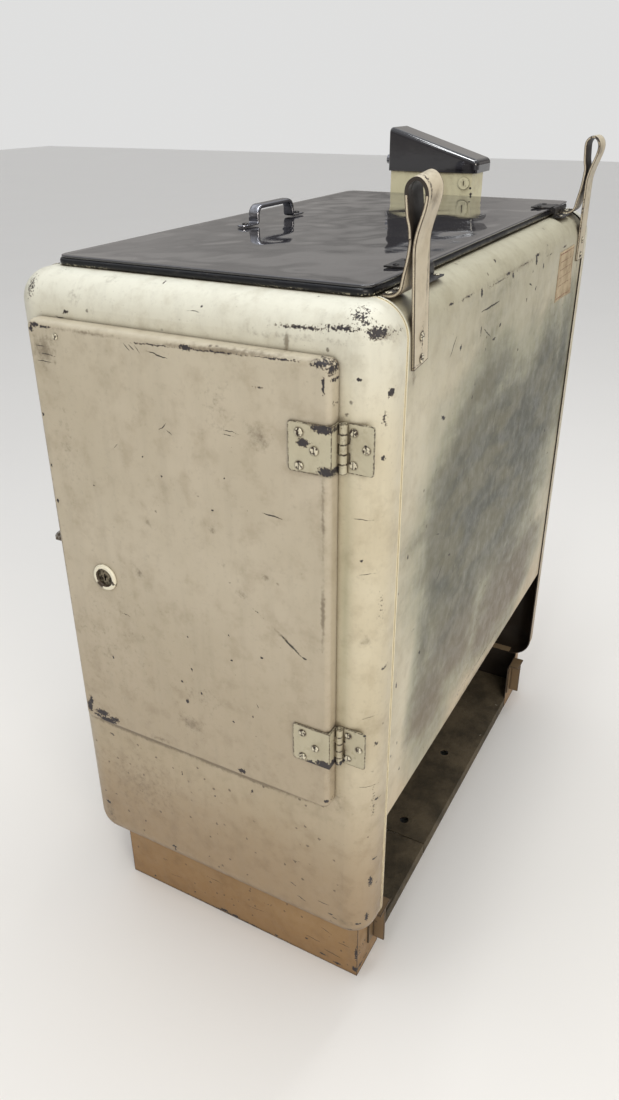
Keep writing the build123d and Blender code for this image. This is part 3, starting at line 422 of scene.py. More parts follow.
# the two lines at z 317 are painted shadow under the door's bottom edge, and the broad mark at y -120, z
# 220 is painted shade low on the left
END_GRIME_AND_SHADE = each(on_end, [
    (121, 862, 9, 26), (-93, 898, 30, 22, 0.5), (-130, 880, 40, 40, 0.32), (120, 868, 240, 16, 0.34),
    (228, 600, 12, 520, 0.50), (228, 830, 14, 140, 0.6), (205, 560, 20, 30, 0.45), (180, 101, 90, 22, 0.6),
    (-60, 101, 260, 16, 0.6), (186, 190, 50, 30, 0.3), (188, 132, 60, 30, 0.36), (-186, 140, 30, 90, 0.5),
    (-110, 317, 320, 22, 1.3), (40, 317, 290, 22, 1.3), (-120, 220, 260, 240, 0.32),
    (180, 330, 30, 50, 0.4), (213, 876, 40, 22, 0.6),
])
BACK_CHIPS = each(on_back, [
    (223, 874, 24, 5, 0.7), (176, 872, 80, 4, 0.50), (132, 868, 11, 16, 0.9), (75, 869, 120, 4, 0.50),
    (18, 867, 12, 13, 0.9), (36, 872, 22, 6, 0.8), (-32, 872, 70, 4, 0.5), (-83, 868, 13, 16, 0.95),
    (-90, 874, 30, 6, 0.8), (-119, 856, 8, 12, 0.85), (-150, 866, 60, 4, 0.5), (-226, 865, 30, 5, 0.7),
    (189, 822, 8, 8, 0.95), (53, 816, 10, 8, 0.95), (124, 826, 6, 16, 0.8), (72, 804, 18, 5, 0.85),
    (-37, 765, 8, 6, 0.9), (-92, 832, 8, 9, 0.85), (-54, 825, 6, 8, 0.8), (136, 752, 5, 6),
    (229, 757, 20, 6, 0.9, 24), (-247, 585, 6, 7), (-285, 534, 5, 6), (255, 474, 7, 7, 0.9),
    (323, 471, 5, 10, 0.9), (174, 566, 10, 6, 0.8), (309, 628, 7, 8, 0.9), (-20, 300, 500, 5, 0.42),
    (60, 889, 12, 6, 0.7), (-240, 700, 5, 8, 0.8), (300, 330, 5, 9, 0.8), (312, 380, 4, 7, 0.8),
])
BACK_SCRATCHES = each(on_back, [
    (96, 846, 82, 2.6, 1.1, 0.5), (212, 829, 34, 2.2, 0.9, -48), (100, 817, 44, 2.0, 0.8, 28),
    (-65, 842, 18, 2.4, 0.9, 20), (205, 557, 26, 2.0, 0.8, -40), (108, 589, 22, 1.8, 0.7, -30),
    (220, 615, 14, 2.0, 0.7, 20), (40, 700, 50, 1.6, 0.5, -62), (150, 480, 60, 1.6, 0.45, -68),
    (-60, 500, 70, 1.5, 0.45, -70), (10, 600, 80, 1.5, 0.4, -65), (120, 640, 46, 1.5, 0.45, 75),
    (280, 520, 30, 1.4, 0.4, 12), (-150, 560, 50, 1.4, 0.4, -75), (240, 700, 20, 1.6, 0.5, -50),
])
BACK_GRIME = each(on_back, [
    (0, 872, 560, 10, 0.42), (0, 284, 640, 12, 0.5), (20, 330, 330, 90, 0.40), (-200, 330, 120, 90, 0.34),
    (318, 830, 14, 60, 0.6), (-318, 830, 14, 60, 0.6), (-240, 760, 120, 60, 0.2), (160, 810, 140, 60, 0.2),
])
BACK_SMEAR = each(on_back, [
    (-20, 590, 780, 500, 0.95), (150, 600, 300, 440), (-190, 640, 340, 380, 0.9),
    (120, 450, 340, 320, 0.80), (-100, 440, 420, 240, 0.6), (200, 360, 220, 140, 0.45),
    (-290, 680, 160, 300, 0.7), (60, 740, 520, 190, 0.5), (230, 470, 140, 360, 0.5),
    (20, 690, 640, 440, 0.34), (200, 380, 220, 280, 0.62), (-110, 370, 520, 200, 0.80),
])
PLINTH_CHIPS = each(on_plinth, [
    (-142, 8, 6, 6), (-68, 14, 5, 5, 0.9), (-17, 5, 18, 8, 0.9), (2, 4, 20, 7, 0.9), (71, 4, 12, 8, 0.85),
    (120, 28, 5, 5), (146, 12, 20, 5, 0.8), (168, 7, 26, 6, 0.8), (195, 44, 6, 46, 0.8, 0.0, 356),
    (194, 12, 12, 16, 0.9, 0.0, 356), (0, 2, 380, 5, 0.52), (60, 60, 30, 4, 0.45), (-120, 55, 20, 4, 0.4),
    (100, 88, 26, 6, 0.5),
])
PLINTH_SCRATCHES = each(on_plinth, [
    (130, 34, 30, 1.6, 0.8, -4), (160, 22, 40, 1.6, 0.8, -6), (176, 50, 26, 1.5, 0.7, -3),
    (40, 40, 50, 1.4, 0.5, 6), (-30, 60, 60, 1.4, 0.45, -4), (-100, 30, 40, 1.4, 0.45, 8),
    (150, 62, 30, 1.6, 0.6, -20),
])

# ---- materials
CABINET_AXIS = (at(0, 0, 0), (1, 1, 0))
STRAP_LOOP = (at(0, 221.5, 981), (0, 1, 1))
cap_paint = enamel(
    "cap_enamel", chips=END_CHIPS, scratches=END_SCRATCHES, grime_and_shade=END_GRIME_AND_SHADE,
    tinted=[on_end(184, 600, 26, 620, 0.42)], hollow=CABINET_AXIS, gap_shade=(112, 96, 70),
    painted_glints=each(spot, [(340.5, 220, 560, 3.4, 20, 900, 1.0), (340.5, 120, 899, 3.4, 300, 30, 0.8)]),
)
door_paint = enamel(
    "door_enamel", tone=(196, 185, 164), other=(187, 176, 154), lit_top_tone=(194, 185, 164),
    shaded_low_tone=(172, 157, 133), low_from=0.66, low_to=0.30, gloss=0.44,
    chips=DOOR_CHIPS, scratches=DOOR_SCRATCHES, grime_and_shade=DOOR_GRIME_AND_SHADE,
)
back_paint = enamel(
    "back_enamel", tone=(208, 200, 177), other=(197, 188, 164), lit_top_tone=(178, 174, 152),
    shaded_low_tone=(194, 174, 142), low_from=0.45, low_to=0.2, gloss=0.44,
    chips=BACK_CHIPS, scratches=BACK_SCRATCHES, grime_and_shade=BACK_GRIME, smear=BACK_SMEAR,
)
front_paint = enamel("front_enamel", specks=0.4)
far_paint = enamel("far_enamel", hollow=CABINET_AXIS, grime_and_shade=each(spot, [
    (-386, 0, 300, 20, 200, 220, 0.35), (-386, 200, 600, 30, 30, 320, 0.5),
    (-340, 224, 500, 30, 14, 360, 0.5),
]))
plinth_paint = enamel(
    "plinth_enamel", tone=(162, 131, 90), other=(148, 117, 77), shaded_low_tone=(144, 111, 71), low_from=0.1,
    low_to=0.0, lit_top_tone=(162, 134, 92), chips=PLINTH_CHIPS, scratches=PLINTH_SCRATCHES, gloss=0.5,
    edges=0.7, hollow=CABINET_AXIS,
    # the first grime mark is painted shadow cast by the cap's overhang along the top of the plinth
    grime_and_shade=[on_end(0, 96, 420, 30, 0.95), on_end(0, 6, 420, 20, 0.35)],
)
HINGE_CHIPS = [
    on_door(168, 793, 34, 13, 1.0), on_door(148, 777, 20, 12, 1.0), on_door(172, 752, 26, 14, 1.0),
    on_end(204, 776, 6, 6, 1.0, x=388), on_door(183, 772, 6, 34, 0.34), on_end(213, 757, 5, 6, 0.9, x=388),
    on_door(172, 399, 34, 18, 1.05), on_door(154, 396, 20, 11, 0.9), on_door(186, 399, 8, 9, 0.9),
    on_end(211, 443, 6, 4, 0.9, x=388),
]
# dirt by the barrels, and painted shade: thin dark lines along the top and bottom edges of the leaves and
# rings round the screw heads
HINGE_GRIME_AND_SHADE = [
    on_door(187, 772, 12, 60, 0.55), on_door(187, 420, 12, 60, 0.6), on_door(160, 796, 60, 4, 0.7),
    on_door(160, 748, 60, 4, 0.7), on_door(160, 444, 60, 4, 0.7), on_door(160, 396, 60, 5, 0.8),
    on_door(146, 787, 13, 13, 0.55), on_door(160, 771, 13, 13, 0.55), on_door(146, 754, 13, 13, 0.55),
    on_end(191, 788, 13, 13, 0.55), on_end(191, 756, 13, 13, 0.55), on_end(204, 773, 13, 13, 0.5),
]
hinge_paint = enamel(
    "hinge_enamel", tone=(194, 187, 162), other=(184, 176, 150), shaded_low_tone=(182, 171, 144),
    lit_top_tone=(194, 187, 162), specks=0.2,
    chips=HINGE_CHIPS, grime_and_shade=HINGE_GRIME_AND_SHADE, gloss=0.34, raggedness=0.003, edges=0.55,
    gap_shade=(116, 104, 82), crack_shade=(104, 92, 72),
)
STRAP_CHIPS = each(spot, [
    (309, 226, 860, 3, 30, 26, 0.5), (335, 224, 990, 4, 18, 22, 0.8), (304, 226, 985, 4, 20, 24, 0.7),
    (320, 226, 836, 16, 10, 4, 0.6), (322, 232, 940, 3, 5, 30, 0.5), (-318, 232, 862, 9, 10, 9, 0.8),
    (-318, 232, 841, 9, 10, 9, 0.8), (-301, 224, 990, 4, 18, 22, 0.7), (-301, 224, 900, 4, 20, 60, 0.4),
])
STRAP_GRIME = each(spot, [
    (321, 221, 975, 24, 6, 26, 0.9), (-318, 221, 975, 24, 6, 26, 0.9), (320, 205, 903, 30, 16, 10, 0.8),
    (-318, 205, 903, 30, 16, 10, 0.8), (338, 226, 920, 5, 20, 80, 0.55), (305, 226, 920, 4, 20, 80, 0.6),
    (321, 212, 940, 24, 6, 40, 0.75), (-318, 212, 940, 24, 6, 40, 0.8), (326, 235, 980, 20, 8, 16, 0.85),
    (-310, 235, 980, 20, 8, 18, 0.9), (320, 222, 1003, 26, 12, 5, 0.5), (-318, 224, 940, 30, 6, 60, 0.5),
])
strap_paint = enamel(
    "strap_enamel", tone=(206, 194, 170), other=(190, 177, 152), lit_top_tone=(206, 195, 172), specks=0.4,
    chips=STRAP_CHIPS, grime_and_shade=STRAP_GRIME, gloss=0.42, raggedness=0.003, edges=0.9,
    hollow=STRAP_LOOP,
)
COIN_CHIPS = each(spot, [
    (-368, 26, 921, 9, 3, 3, 0.9), (-368, 27, 912, 9, 3, 4, 0.8), (-368, -58, 917, 9, 3, 3, 0.7),
])
# the long thin mark at z 943 is painted shadow under the hood's lip
COIN_GRIME_AND_SHADE = each(spot, [
    (-368, -40, 943, 9, 90, 5, 0.9), (-368, 15, 928, 9, 12, 12, 0.5),
])
coin_paint = enamel(
    "coin_enamel", tone=(228, 222, 188), other=(220, 213, 178), lit_top_tone=(228, 222, 188), specks=0.25,
    chips=COIN_CHIPS, grime_and_shade=COIN_GRIME_AND_SHADE, gloss=0.34, raggedness=0.002,
)


def gloss_black(name, base, rough, waves, wave_scale, dust=0.25, coat=0.6):
    """Deep black stove enamel with an uneven surface and a film of dust."""
    f = Finish(name, ior=1.55, coat=coat, coat_roughness=0.04)
    film = f.span(f.noise(16, 6, 0.65), 0.46, 0.74, 0.0, dust)
    fine = f.span(f.noise(240, 4, 0.7), 0.50, 0.72, 0.0, dust * 0.6)
    shade = f.mix(film, srgb(*base), srgb(96, 94, 92))
    f.colour(f.mix(fine, shade, srgb(110, 106, 102)))
    f.rough(f.math("MULTIPLY_ADD", film, 0.35, rough))
    f.bump(f.noise(wave_scale, 3, 0.5), waves)
    return f.material


lid_black = gloss_black("lid_gloss", (50, 49, 53), 0.035, 0.00012, 70, 0.24)
hood_black = gloss_black("hood_gloss", (30, 28, 33), 0.05, 0.0002, 18, 0.14, 0.9)

def two_tone(name, clean, soiled, patch, spread, rough, added=0.0, relief=None, metallic=0.0, ior=1.5):
    """One colour with patches of another, which may be rougher. relief is noise, then depth in m."""
    f = Finish(name, metallic=metallic, ior=ior)
    soil = f.span(f.noise(*patch), *spread)
    f.colour(f.mix(soil, srgb(*clean), srgb(*soiled)))
    f.rough(f.math("MULTIPLY_ADD", soil, added, rough) if added else rough)
    if relief:
        scale, detail, depth = relief
        f.bump(f.noise(scale, detail), depth)
    return f.material


f = Finish("faded_paper", ior=1.4)
label_low, label_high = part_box("label")
stained = f.noise(40, 5, 0.65)
paper = f.mix(f.span(stained, 0.35, 0.7), srgb(194, 176, 146), srgb(158, 138, 110))
across = f.axis(0)
upward = f.axis(2)


BORDER_INSET = 0.004
BORDER_WIDTH = 0.0016
BORDER_ENDS = 0.0032


def frame_line(value, low, high):
    """Two border lines, one near each end of a span."""
    first = f.math("COMPARE", value, low + BORDER_INSET, BORDER_WIDTH / 2)
    last = f.math("COMPARE", value, high - BORDER_INSET, BORDER_WIDTH / 2)
    return f.math("MAXIMUM", first, last)


def inside(value, low, high, inset):
    """1 between two bounds."""
    return f.math("COMPARE", value, (low + high) / 2, (high - low) / 2 - inset)


sides = f.times(frame_line(across, label_low.x, label_high.x),
                inside(upward, label_low.z, label_high.z, BORDER_ENDS))
ends = f.times(frame_line(upward, label_low.z, label_high.z),
               inside(across, label_low.x, label_high.x, BORDER_ENDS))
border = f.math("MAXIMUM", sides, ends)
rows = f.math("PINGPONG", f.math("SUBTRACT", upward, label_low.z + 0.010), 0.0055)
rows = f.math("LESS_THAN", rows, 0.0007)
rows = f.times(rows, inside(upward, label_low.z, label_high.z, 0.012))
rows = f.times(rows, inside(across, label_low.x, label_high.x, 0.010))
worn_ink = f.span(f.noise(260, 4, 0.7), 0.36, 0.56)
paper = f.mix(f.times(border, f.times(worn_ink, 0.9)), paper, srgb(104, 38, 28))
paper = f.mix(f.times(rows, f.times(worn_ink, 0.7)), paper, srgb(104, 66, 50))
f.colour(paper)
f.rough(0.7)
f.bump(f.noise(120, 4), 0.0006)
label_paper = f.material

f = Finish("rim_band", ior=1.45)
scuff = f.span(f.noise(90, 5, 0.7, f.stretched(0.5, 0.5, 2.0)), 0.52, 0.70)
rim_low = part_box("lid_rim")[0].z
crumbs = f.math("GREATER_THAN", f.noise(520, 3, 0.6), 0.56)
crumbs = f.times(crumbs, f.span(f.axis(2), rim_low + 0.0032, rim_low + 0.0012))
crumbs = f.times(crumbs, f.span(f.noise(9, 3), 0.46, 0.56))
black = f.mix(f.times(scuff, 0.40), srgb(15, 16, 21), srgb(86, 80, 74))
f.colour(f.mix(crumbs, black, srgb(190, 182, 160)))
f.rough(f.span(f.noise(60, 3), 0.3, 0.7, 0.26, 0.46))
f.bump(f.noise(200, 3), 0.0002)
rim_black = f.material

gasket_dark = two_tone(
    "gasket_dark", (34, 33, 33), (92, 86, 76), (120, 4), (0.45, 0.7, 0, 0.6), 0.7,
    relief=(300, 3, 0.0002), ior=1.45,
)

f = Finish("polished_chrome", metallic=1.0)
pits = f.span(f.noise(420, 4, 0.7), 0.60, 0.72)
f.colour(f.mix(pits, srgb(150, 150, 156), srgb(84, 74, 64)))
f.rough(f.math("MULTIPLY_ADD", pits, 0.4, f.span(f.noise(70, 4), 0.35, 0.7, 0.08, 0.26)))
f.bump(f.noise(260, 3), 0.00008)
chrome = f.material

f = Finish("hinge_black_enamel", ior=1.5)
rubbed = f.span(f.noise(230, 5, 0.7), 0.56, 0.70)
f.colour(f.mix(rubbed, srgb(36, 34, 35), srgb(112, 104, 94)))
f.rough(f.span(f.noise(90, 3), 0.3, 0.7, 0.28, 0.5))
f.bump(f.noise(350, 3), 0.00015)
hinge_black = f.material

f = Finish("lock_cream_over_brass", ior=1.5)
ring_low, ring_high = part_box("door_lock_ring")
ring_middle = (ring_low + ring_high) / 2
spoke = f.vector("MULTIPLY", f.vector("SUBTRACT", f.place, ring_middle), (0, 1, 1))
# painted shade: the collar's inner lip, where it falls into the cup, darkens to the worn brass colour;
# from here rubbed holds this painted shade as well as the rubbed brass
inner_lip_shade = f.span(f.vector("LENGTH", spoke), 0.0128, 0.0112)
rubbed = f.marks([on_end(-127, 550, 20, 20, 1.0), on_end(-106, 556, 9, 16, 0.8)], f.warped(200, 0.004))
rubbed = f.math("MAXIMUM", f.times(inner_lip_shade, 0.7), rubbed)
rubbed = f.math("MULTIPLY_ADD", f.math("SUBTRACT", f.noise(220, 4, 0.7), 0.5), 1.0, rubbed)
rubbed = f.span(rubbed, 0.34, 0.46)
f.colour(f.mix(rubbed, srgb(232, 225, 202), srgb(64, 50, 34)))
f.rough(f.math("MULTIPLY_ADD", rubbed, 0.05, 0.28))
f.bump(f.noise(180, 4), 0.0004)
lock_ring = f.material

f = Finish("lock_core_metal", metallic=0.8)
darkening = f.span(f.noise(260, 4, 0.7), 0.42, 0.62)
shade = f.mix(darkening, srgb(128, 118, 98), srgb(48, 41, 32))
# painted shade in recesses, where ambient occlusion is low
f.colour(f.mix(f.span(f.openness(0.006), 0.95, 0.5), shade, srgb(20, 16, 12)))
f.rough(f.math("MULTIPLY_ADD", darkening, 0.3, 0.34))
f.bump(f.noise(300, 4), 0.0004)
lock_core = f.material

f = Finish("galvanised_sheet", metallic=0.9)
spangle = f.cells(60, output="Color")
f.colour(f.mix(f.axis(0, spangle), srgb(150, 153, 156), srgb(178, 180, 182)))
f.rough(f.span(f.noise(30, 4), 0.3, 0.7, 0.32, 0.52))
f.bump(f.noise(80, 3), 0.0002)
galvanised = f.material

breaker = two_tone(
    "breaker_strip", (42, 41, 41), (104, 97, 86), (70, 5, 0.7), (0.42, 0.7, 0, 0.7), 0.55,
    relief=(160, 3, 0.0002), ior=1.45,
)

f = Finish("fibre_board", ior=1.4)
fibres = f.noise(500, 4, 0.7, f.stretched(1.0, 0.3, 1.0))
f.colour(f.mix(fibres, srgb(206, 184, 130), srgb(170, 146, 98)))
f.rough(0.85)
f.bump(fibres, 0.0008)
fibre = f.material

copper = two_tone(
    "dull_copper", (176, 112, 78), (92, 62, 48), (120, 5, 0.7), (0.4, 0.65), 0.32, 0.25, metallic=1.0,
)
fins = two_tone(
    "dusty_fins", (132, 132, 130), (98, 88, 74), (45, 5, 0.65), (0.38, 0.66), 0.4, 0.4,
    relief=(200, 3, 0.0003), metallic=0.7,
)
unit_black = two_tone(
    "unit_satin_black", (34, 34, 35), (88, 78, 64), (34, 6, 0.68), (0.40, 0.68), 0.38, 0.35,
    relief=(120, 3, 0.0003),
)
rubber = two_tone(
    "old_rubber", (30, 30, 30), (66, 62, 56), (150, 4), (0.4, 0.7), 0.72,
    relief=(260, 3, 0.0003), ior=1.45,
)

f = Finish("cast_alloy", metallic=0.9)
f.colour(f.mix(f.noise(90, 4), srgb(168, 168, 164), srgb(132, 130, 124)))
f.rough(f.span(f.noise(140, 3), 0.3, 0.7, 0.35, 0.55))
f.bump(f.noise(400, 3), 0.0003)
cast = f.material

f = Finish("deck_dirt", ior=1.45)
soil = f.noise(13, 6, 0.68)
crumbs = f.noise(190, 5, 0.72)
tone = f.mix(f.span(soil, 0.36, 0.64), srgb(66, 58, 44), srgb(104, 92, 72))
tone = f.mix(f.span(crumbs, 0.5, 0.74, 0.0, 0.7), tone, srgb(98, 86, 68))
flecks = f.cells(55, f.warped(180, 0.012, 3.0))
dice = f.axis(1, f.cells(55, f.warped(180, 0.012, 3.0), "Color"))
fleck = f.times(f.span(flecks, 0.13, 0.07), f.math("GREATER_THAN", dice, 0.88))
f.colour(f.mix(f.times(fleck, 0.8), tone, srgb(190, 180, 160)))
f.rough(f.span(crumbs, 0.3, 0.7, 0.62, 0.9))
f.bump(crumbs, 0.0016)
f.bump(f.times(fleck, 1.0), 0.0012)
deck_dirt = f.material

bracket_steel = two_tone(
    "dull_steel", (150, 142, 128), (104, 78, 54), (60, 5, 0.7), (0.46, 0.66), 0.42, 0.3,
    relief=(240, 4, 0.0004), metallic=0.6,
)
bracket_paint = enamel(
    "bracket_enamel", tone=(160, 134, 100), other=(134, 108, 78), shaded_low_tone=(120, 98, 70),
    lit_top_tone=(150, 124, 92), specks=0.9, gloss=0.5, edges=0.8,
)

plating = two_tone(
    "worn_plating", (160, 156, 148), (84, 70, 54), (130, 5, 0.7), (0.45, 0.62), 0.28, 0.3,
    relief=(220, 4, 0.0003), metallic=0.8,
)

f = Finish("painted_screw", ior=1.5)
bare = f.span(f.noise(300, 3, 0.6), 0.50, 0.56)
paint = f.mix(bare, srgb(214, 206, 182), srgb(60, 46, 36))
# painted shade: dark round the base of each head, where ambient occlusion is low
paint = f.mix(f.span(f.openness(0.0022), 0.93, 0.55), paint, srgb(40, 31, 24))
f.colour(paint)
f.rough(f.math("MULTIPLY_ADD", bare, 0.1, 0.26))
f.bump(f.noise(500, 3), 0.0003)
screw_paint = f.material


def dress(material, names):
    """Gives carried-over CAD nodes a finish."""
    for name in names:
        mesh = nodes[name].data
        if not mesh.materials:
            mesh.materials.append(material)
        for k in range(len(mesh.materials)):
            mesh.materials[k] = material


for material, names in (
    (cap_paint, "cap_near"),
    (far_paint, "cap_far"),
    (back_paint, "back_panel"),
    (front_paint, "front_panel"),
    (door_paint, "door_skin"),
    (plinth_paint, "plinth"),
    (hinge_paint, "door_hinge_door_leaves door_hinge_frame_leaves door_hinge_pins"),
    (strap_paint, "strap_near strap_far"),
    (coin_paint, "coin_housing coin_lock_plug"),
    (hood_black, "coin_cap"),
    (lid_black, "lid_skin"),
    (rim_black, "lid_rim"),
    (label_paper, "label"),
    (gasket_dark, "door_gasket"),
    (breaker, "top_frame door_jamb"),
    (chrome, "lid_handle coin_slot_plate coin_return_button"),
    (hinge_black, "lid_hinge_upper_leaves lid_hinge_lower_leaves lid_hinge_pins"),
    (lock_ring, "door_lock_ring"),
    (lock_core, "door_lock_plug door_lock_cam"),
    (galvanised, "tank_liner lid_liner door_liner bottle_rails storage_shelf coin_mechanism"),
    (fibre, "insulation lid_insulation door_insulation"),
    (copper, "evaporator_coil refrigerant_lines"),
    (fins, "condenser fan_blade"),
    (unit_black, "compressor fan_motor fan_shroud relay_box"),
    (rubber, "compressor_grommets drain_tube cord_gland"),
    (cast, "vend_rotor"),
    (deck_dirt, "deck_plates bay_ceiling"),
    (bracket_paint, "corner_brackets"),
    (bracket_steel, "unit_base rotor_bracket"),
    (plating, "bottle_opener"),
    (screw_paint, "door_screws cabinet_screws"),
    (hinge_black, "lid_screws"),
):
    dress(material, names.split())

# ---- pieces made here
def piece(name, points, faces, material, body, stands_for):
    """A smooth-shaded mesh that takes the place of a CAD node and moves with its body."""
    mesh = bpy.data.meshes.new(name)
    mesh.from_pydata(points, [], faces)
    mesh.materials.append(material)
    for face in mesh.polygons:
        face.use_smooth = True
    made = bpy.data.objects.new(name, mesh)
    bpy.context.scene.collection.objects.link(made)
    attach(made, body)
    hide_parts(stands_for)
    return made


def bridge(first, second, count, closed=True):
    """Quads between two rows of points that start at the given indices."""
    last = count if closed else count - 1
    return [
        (first + k, first + (k + 1) % count, second + (k + 1) % count, second + k)
        for k in range(last)
    ]


CORNER_STEPS = 6


def outline(low, high, radius):
    """A rounded rectangle seen from above, anticlockwise."""
    centres = (
        (high.x - radius, high.y - radius), (low.x + radius, high.y - radius),
        (low.x + radius, low.y + radius), (high.x - radius, low.y + radius),
    )
    points = []
    for quarter, (cx, cy) in enumerate(centres):
        for k in range(CORNER_STEPS + 1):
            angle = math.radians(90 * (quarter + k / CORNER_STEPS))
            points.append((cx + radius * math.cos(angle), cy + radius * math.sin(angle)))
    return points


def inset_outline(low, high, radius, inset):
    """The outline moved inwards by the inset."""
    step = Vector((inset, inset, 0))
    return outline(low + step, high - step, max(radius - inset, 0.0004))


LID_CORNER = 0.012
SHEET_THICK = 0.0026
SHEET_CELL = 0.0065
RIPPLE_REACH = 0.0007
RIPPLE_FADE = 0.03
EDGE_SOFT = 0.0007
# How far out and down each row of the rolled edge lies, in edge radii: first below the top,
# then above the underside.
EDGE_FROM_TOP = ((0.5, 0.2), (0.9, 0.6), (1.0, 1.2))
EDGE_FROM_UNDER = ((1.0, 0.71), (0.5, 0.0))


def ripple(x, y, low, high):
    """Height of the sheet's slight unevenness, from nothing at its edges, never above zero."""
    coarse = noise.noise(Vector((x * 9, y * 13, 0.7)))
    fine = noise.noise(Vector((x * 24, y * 34, 4.1)))
    margin = min(x - low.x, high.x - x, y - low.y, high.y - y) / RIPPLE_FADE
    return RIPPLE_REACH * min(1.0, max(0.0, margin)) * min(0.0, coarse + 0.65 * fine - 1.2)


def rounded_grid(low, high, radius, cell):
    """Rows of points that fill a rounded rectangle: the corner squares bend to quarter discs."""
    columns = round((high.x - low.x) / cell)
    rows = round((high.y - low.y) / cell)
    middle = (low + high) / 2
    half = (high - low) / 2
    points = []
    for j in range(rows + 1):
        for i in range(columns + 1):
            x = (2 * i / columns - 1) * half.x
            y = (2 * j / rows - 1) * half.y
            past_x = abs(x) - (half.x - radius)
            past_y = abs(y) - (half.y - radius)
            if past_x > 0 and past_y > 0:
                pull = max(past_x, past_y) / math.hypot(past_x, past_y)
                x = math.copysign(half.x - radius + past_x * pull, x)
                y = math.copysign(half.y - radius + past_y * pull, y)
            points.append((middle.x + x, middle.y + y))
    return points, columns, rows


def grid_quads(columns, rows):
    """Quads over a grid of points, row by row."""
    across = columns + 1
    starts = [j * across + i for j in range(rows) for i in range(columns)]
    return [(a, a + 1, a + across + 1, a + across) for a in starts]


def grid_edge(columns, rows):
    """The indices round the outside of a grid, once round."""
    across = columns + 1
    edge = list(range(across))
    edge += [j * across + columns for j in range(1, rows + 1)]
    edge += [rows * across + i for i in range(columns - 1, -1, -1)]
    edge += [j * across for j in range(rows - 1, 0, -1)]
    return edge


def lid_sheet():
    """The glossy top sheet: thin, slightly rippled, with softened edges and round corners."""
    low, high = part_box("lid_skin")
    top = high.z
    inset = Vector((EDGE_SOFT, EDGE_SOFT, 0))
    inner_low = low + inset
    inner_high = high - inset
    flat, columns, rows = rounded_grid(inner_low, inner_high, LID_CORNER, SHEET_CELL)
    points = [(x, y, top + ripple(x, y, low, high)) for x, y in flat]
    faces = grid_quads(columns, rows)
    edge = grid_edge(columns, rows)
    centre = (low + high) / 2
    reach = (high - low) / 2 - Vector((LID_CORNER, LID_CORNER, 0))
    under = top - SHEET_THICK
    levels = [(out, -down, None) for out, down in EDGE_FROM_TOP]
    levels += [(out, rise, under) for out, rise in EDGE_FROM_UNDER]
    last = edge
    for out, rise, base in levels:
        start = len(points)
        for k in edge:
            x, y, z = points[k]
            away = Vector((x - centre.x, y - centre.y))
            core = Vector((
                max(-reach.x, min(reach.x, away.x)),
                max(-reach.y, min(reach.y, away.y)),
            ))
            push = (away - core).normalized() * EDGE_SOFT * out
            height = (z if base is None else base) + EDGE_SOFT * rise
            points.append((x + push.x, y + push.y, height))
        row = list(range(start, start + len(edge)))
        for k in range(len(edge)):
            n = (k + 1) % len(edge)
            faces.append((last[n], last[k], row[k], row[n]))
        last = row
    faces.append(tuple(reversed(last)))
    made = piece("lid_sheet", points, faces, lid_black, "lid", "lid_skin")
    made.data.polygons[-1].use_smooth = False
    return made


def rim_band():
    """The black moulding under the sheet: a rounded bulge that runs all the way round."""
    low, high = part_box("lid_rim")
    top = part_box("lid_skin")[1].z - SHEET_THICK
    depth = top - low.z
    profile = (
        (0.0030, 0.00), (0.0012, 0.04), (0.0002, 0.18), (0.0, 0.38), (0.0, 0.60), (0.0003, 0.78),
        (0.0013, 0.93), (0.0032, 1.00), (0.0140, 1.00), (0.0140, 0.00),
    )
    points = []
    faces = []
    size = 4 * (CORNER_STEPS + 1)
    for inset, share in profile:
        z = low.z + depth * share
        points += [(x, y, z) for x, y in inset_outline(low, high, 0.015, inset)]
    for k in range(len(profile)):
        faces += bridge(k * size, (k + 1) % len(profile) * size, size)
    return piece("lid_rim_band", points, faces, rim_black, "lid", "lid_rim")


def bent_path(corners, radii, steps=7):
    """Points of a path in the X-Z plane whose inner corners are arcs."""
    path = [corners[0]]
    for before, corner, after, radius in zip(corners, corners[1:-1], corners[2:], radii):
        back = (before - corner).normalized()
        on = (after - corner).normalized()
        half = back.angle(on) / 2
        centre = corner + (back + on).normalized() * radius / math.sin(half)
        start = corner + back * radius / math.tan(half) - centre
        end = corner + on * radius / math.tan(half) - centre
        for k in range(steps + 1):
            share = k / steps
            spoke = start.lerp(end, share).normalized() * radius
            path.append(centre + spoke)
    path.append(corners[-1])
    return path


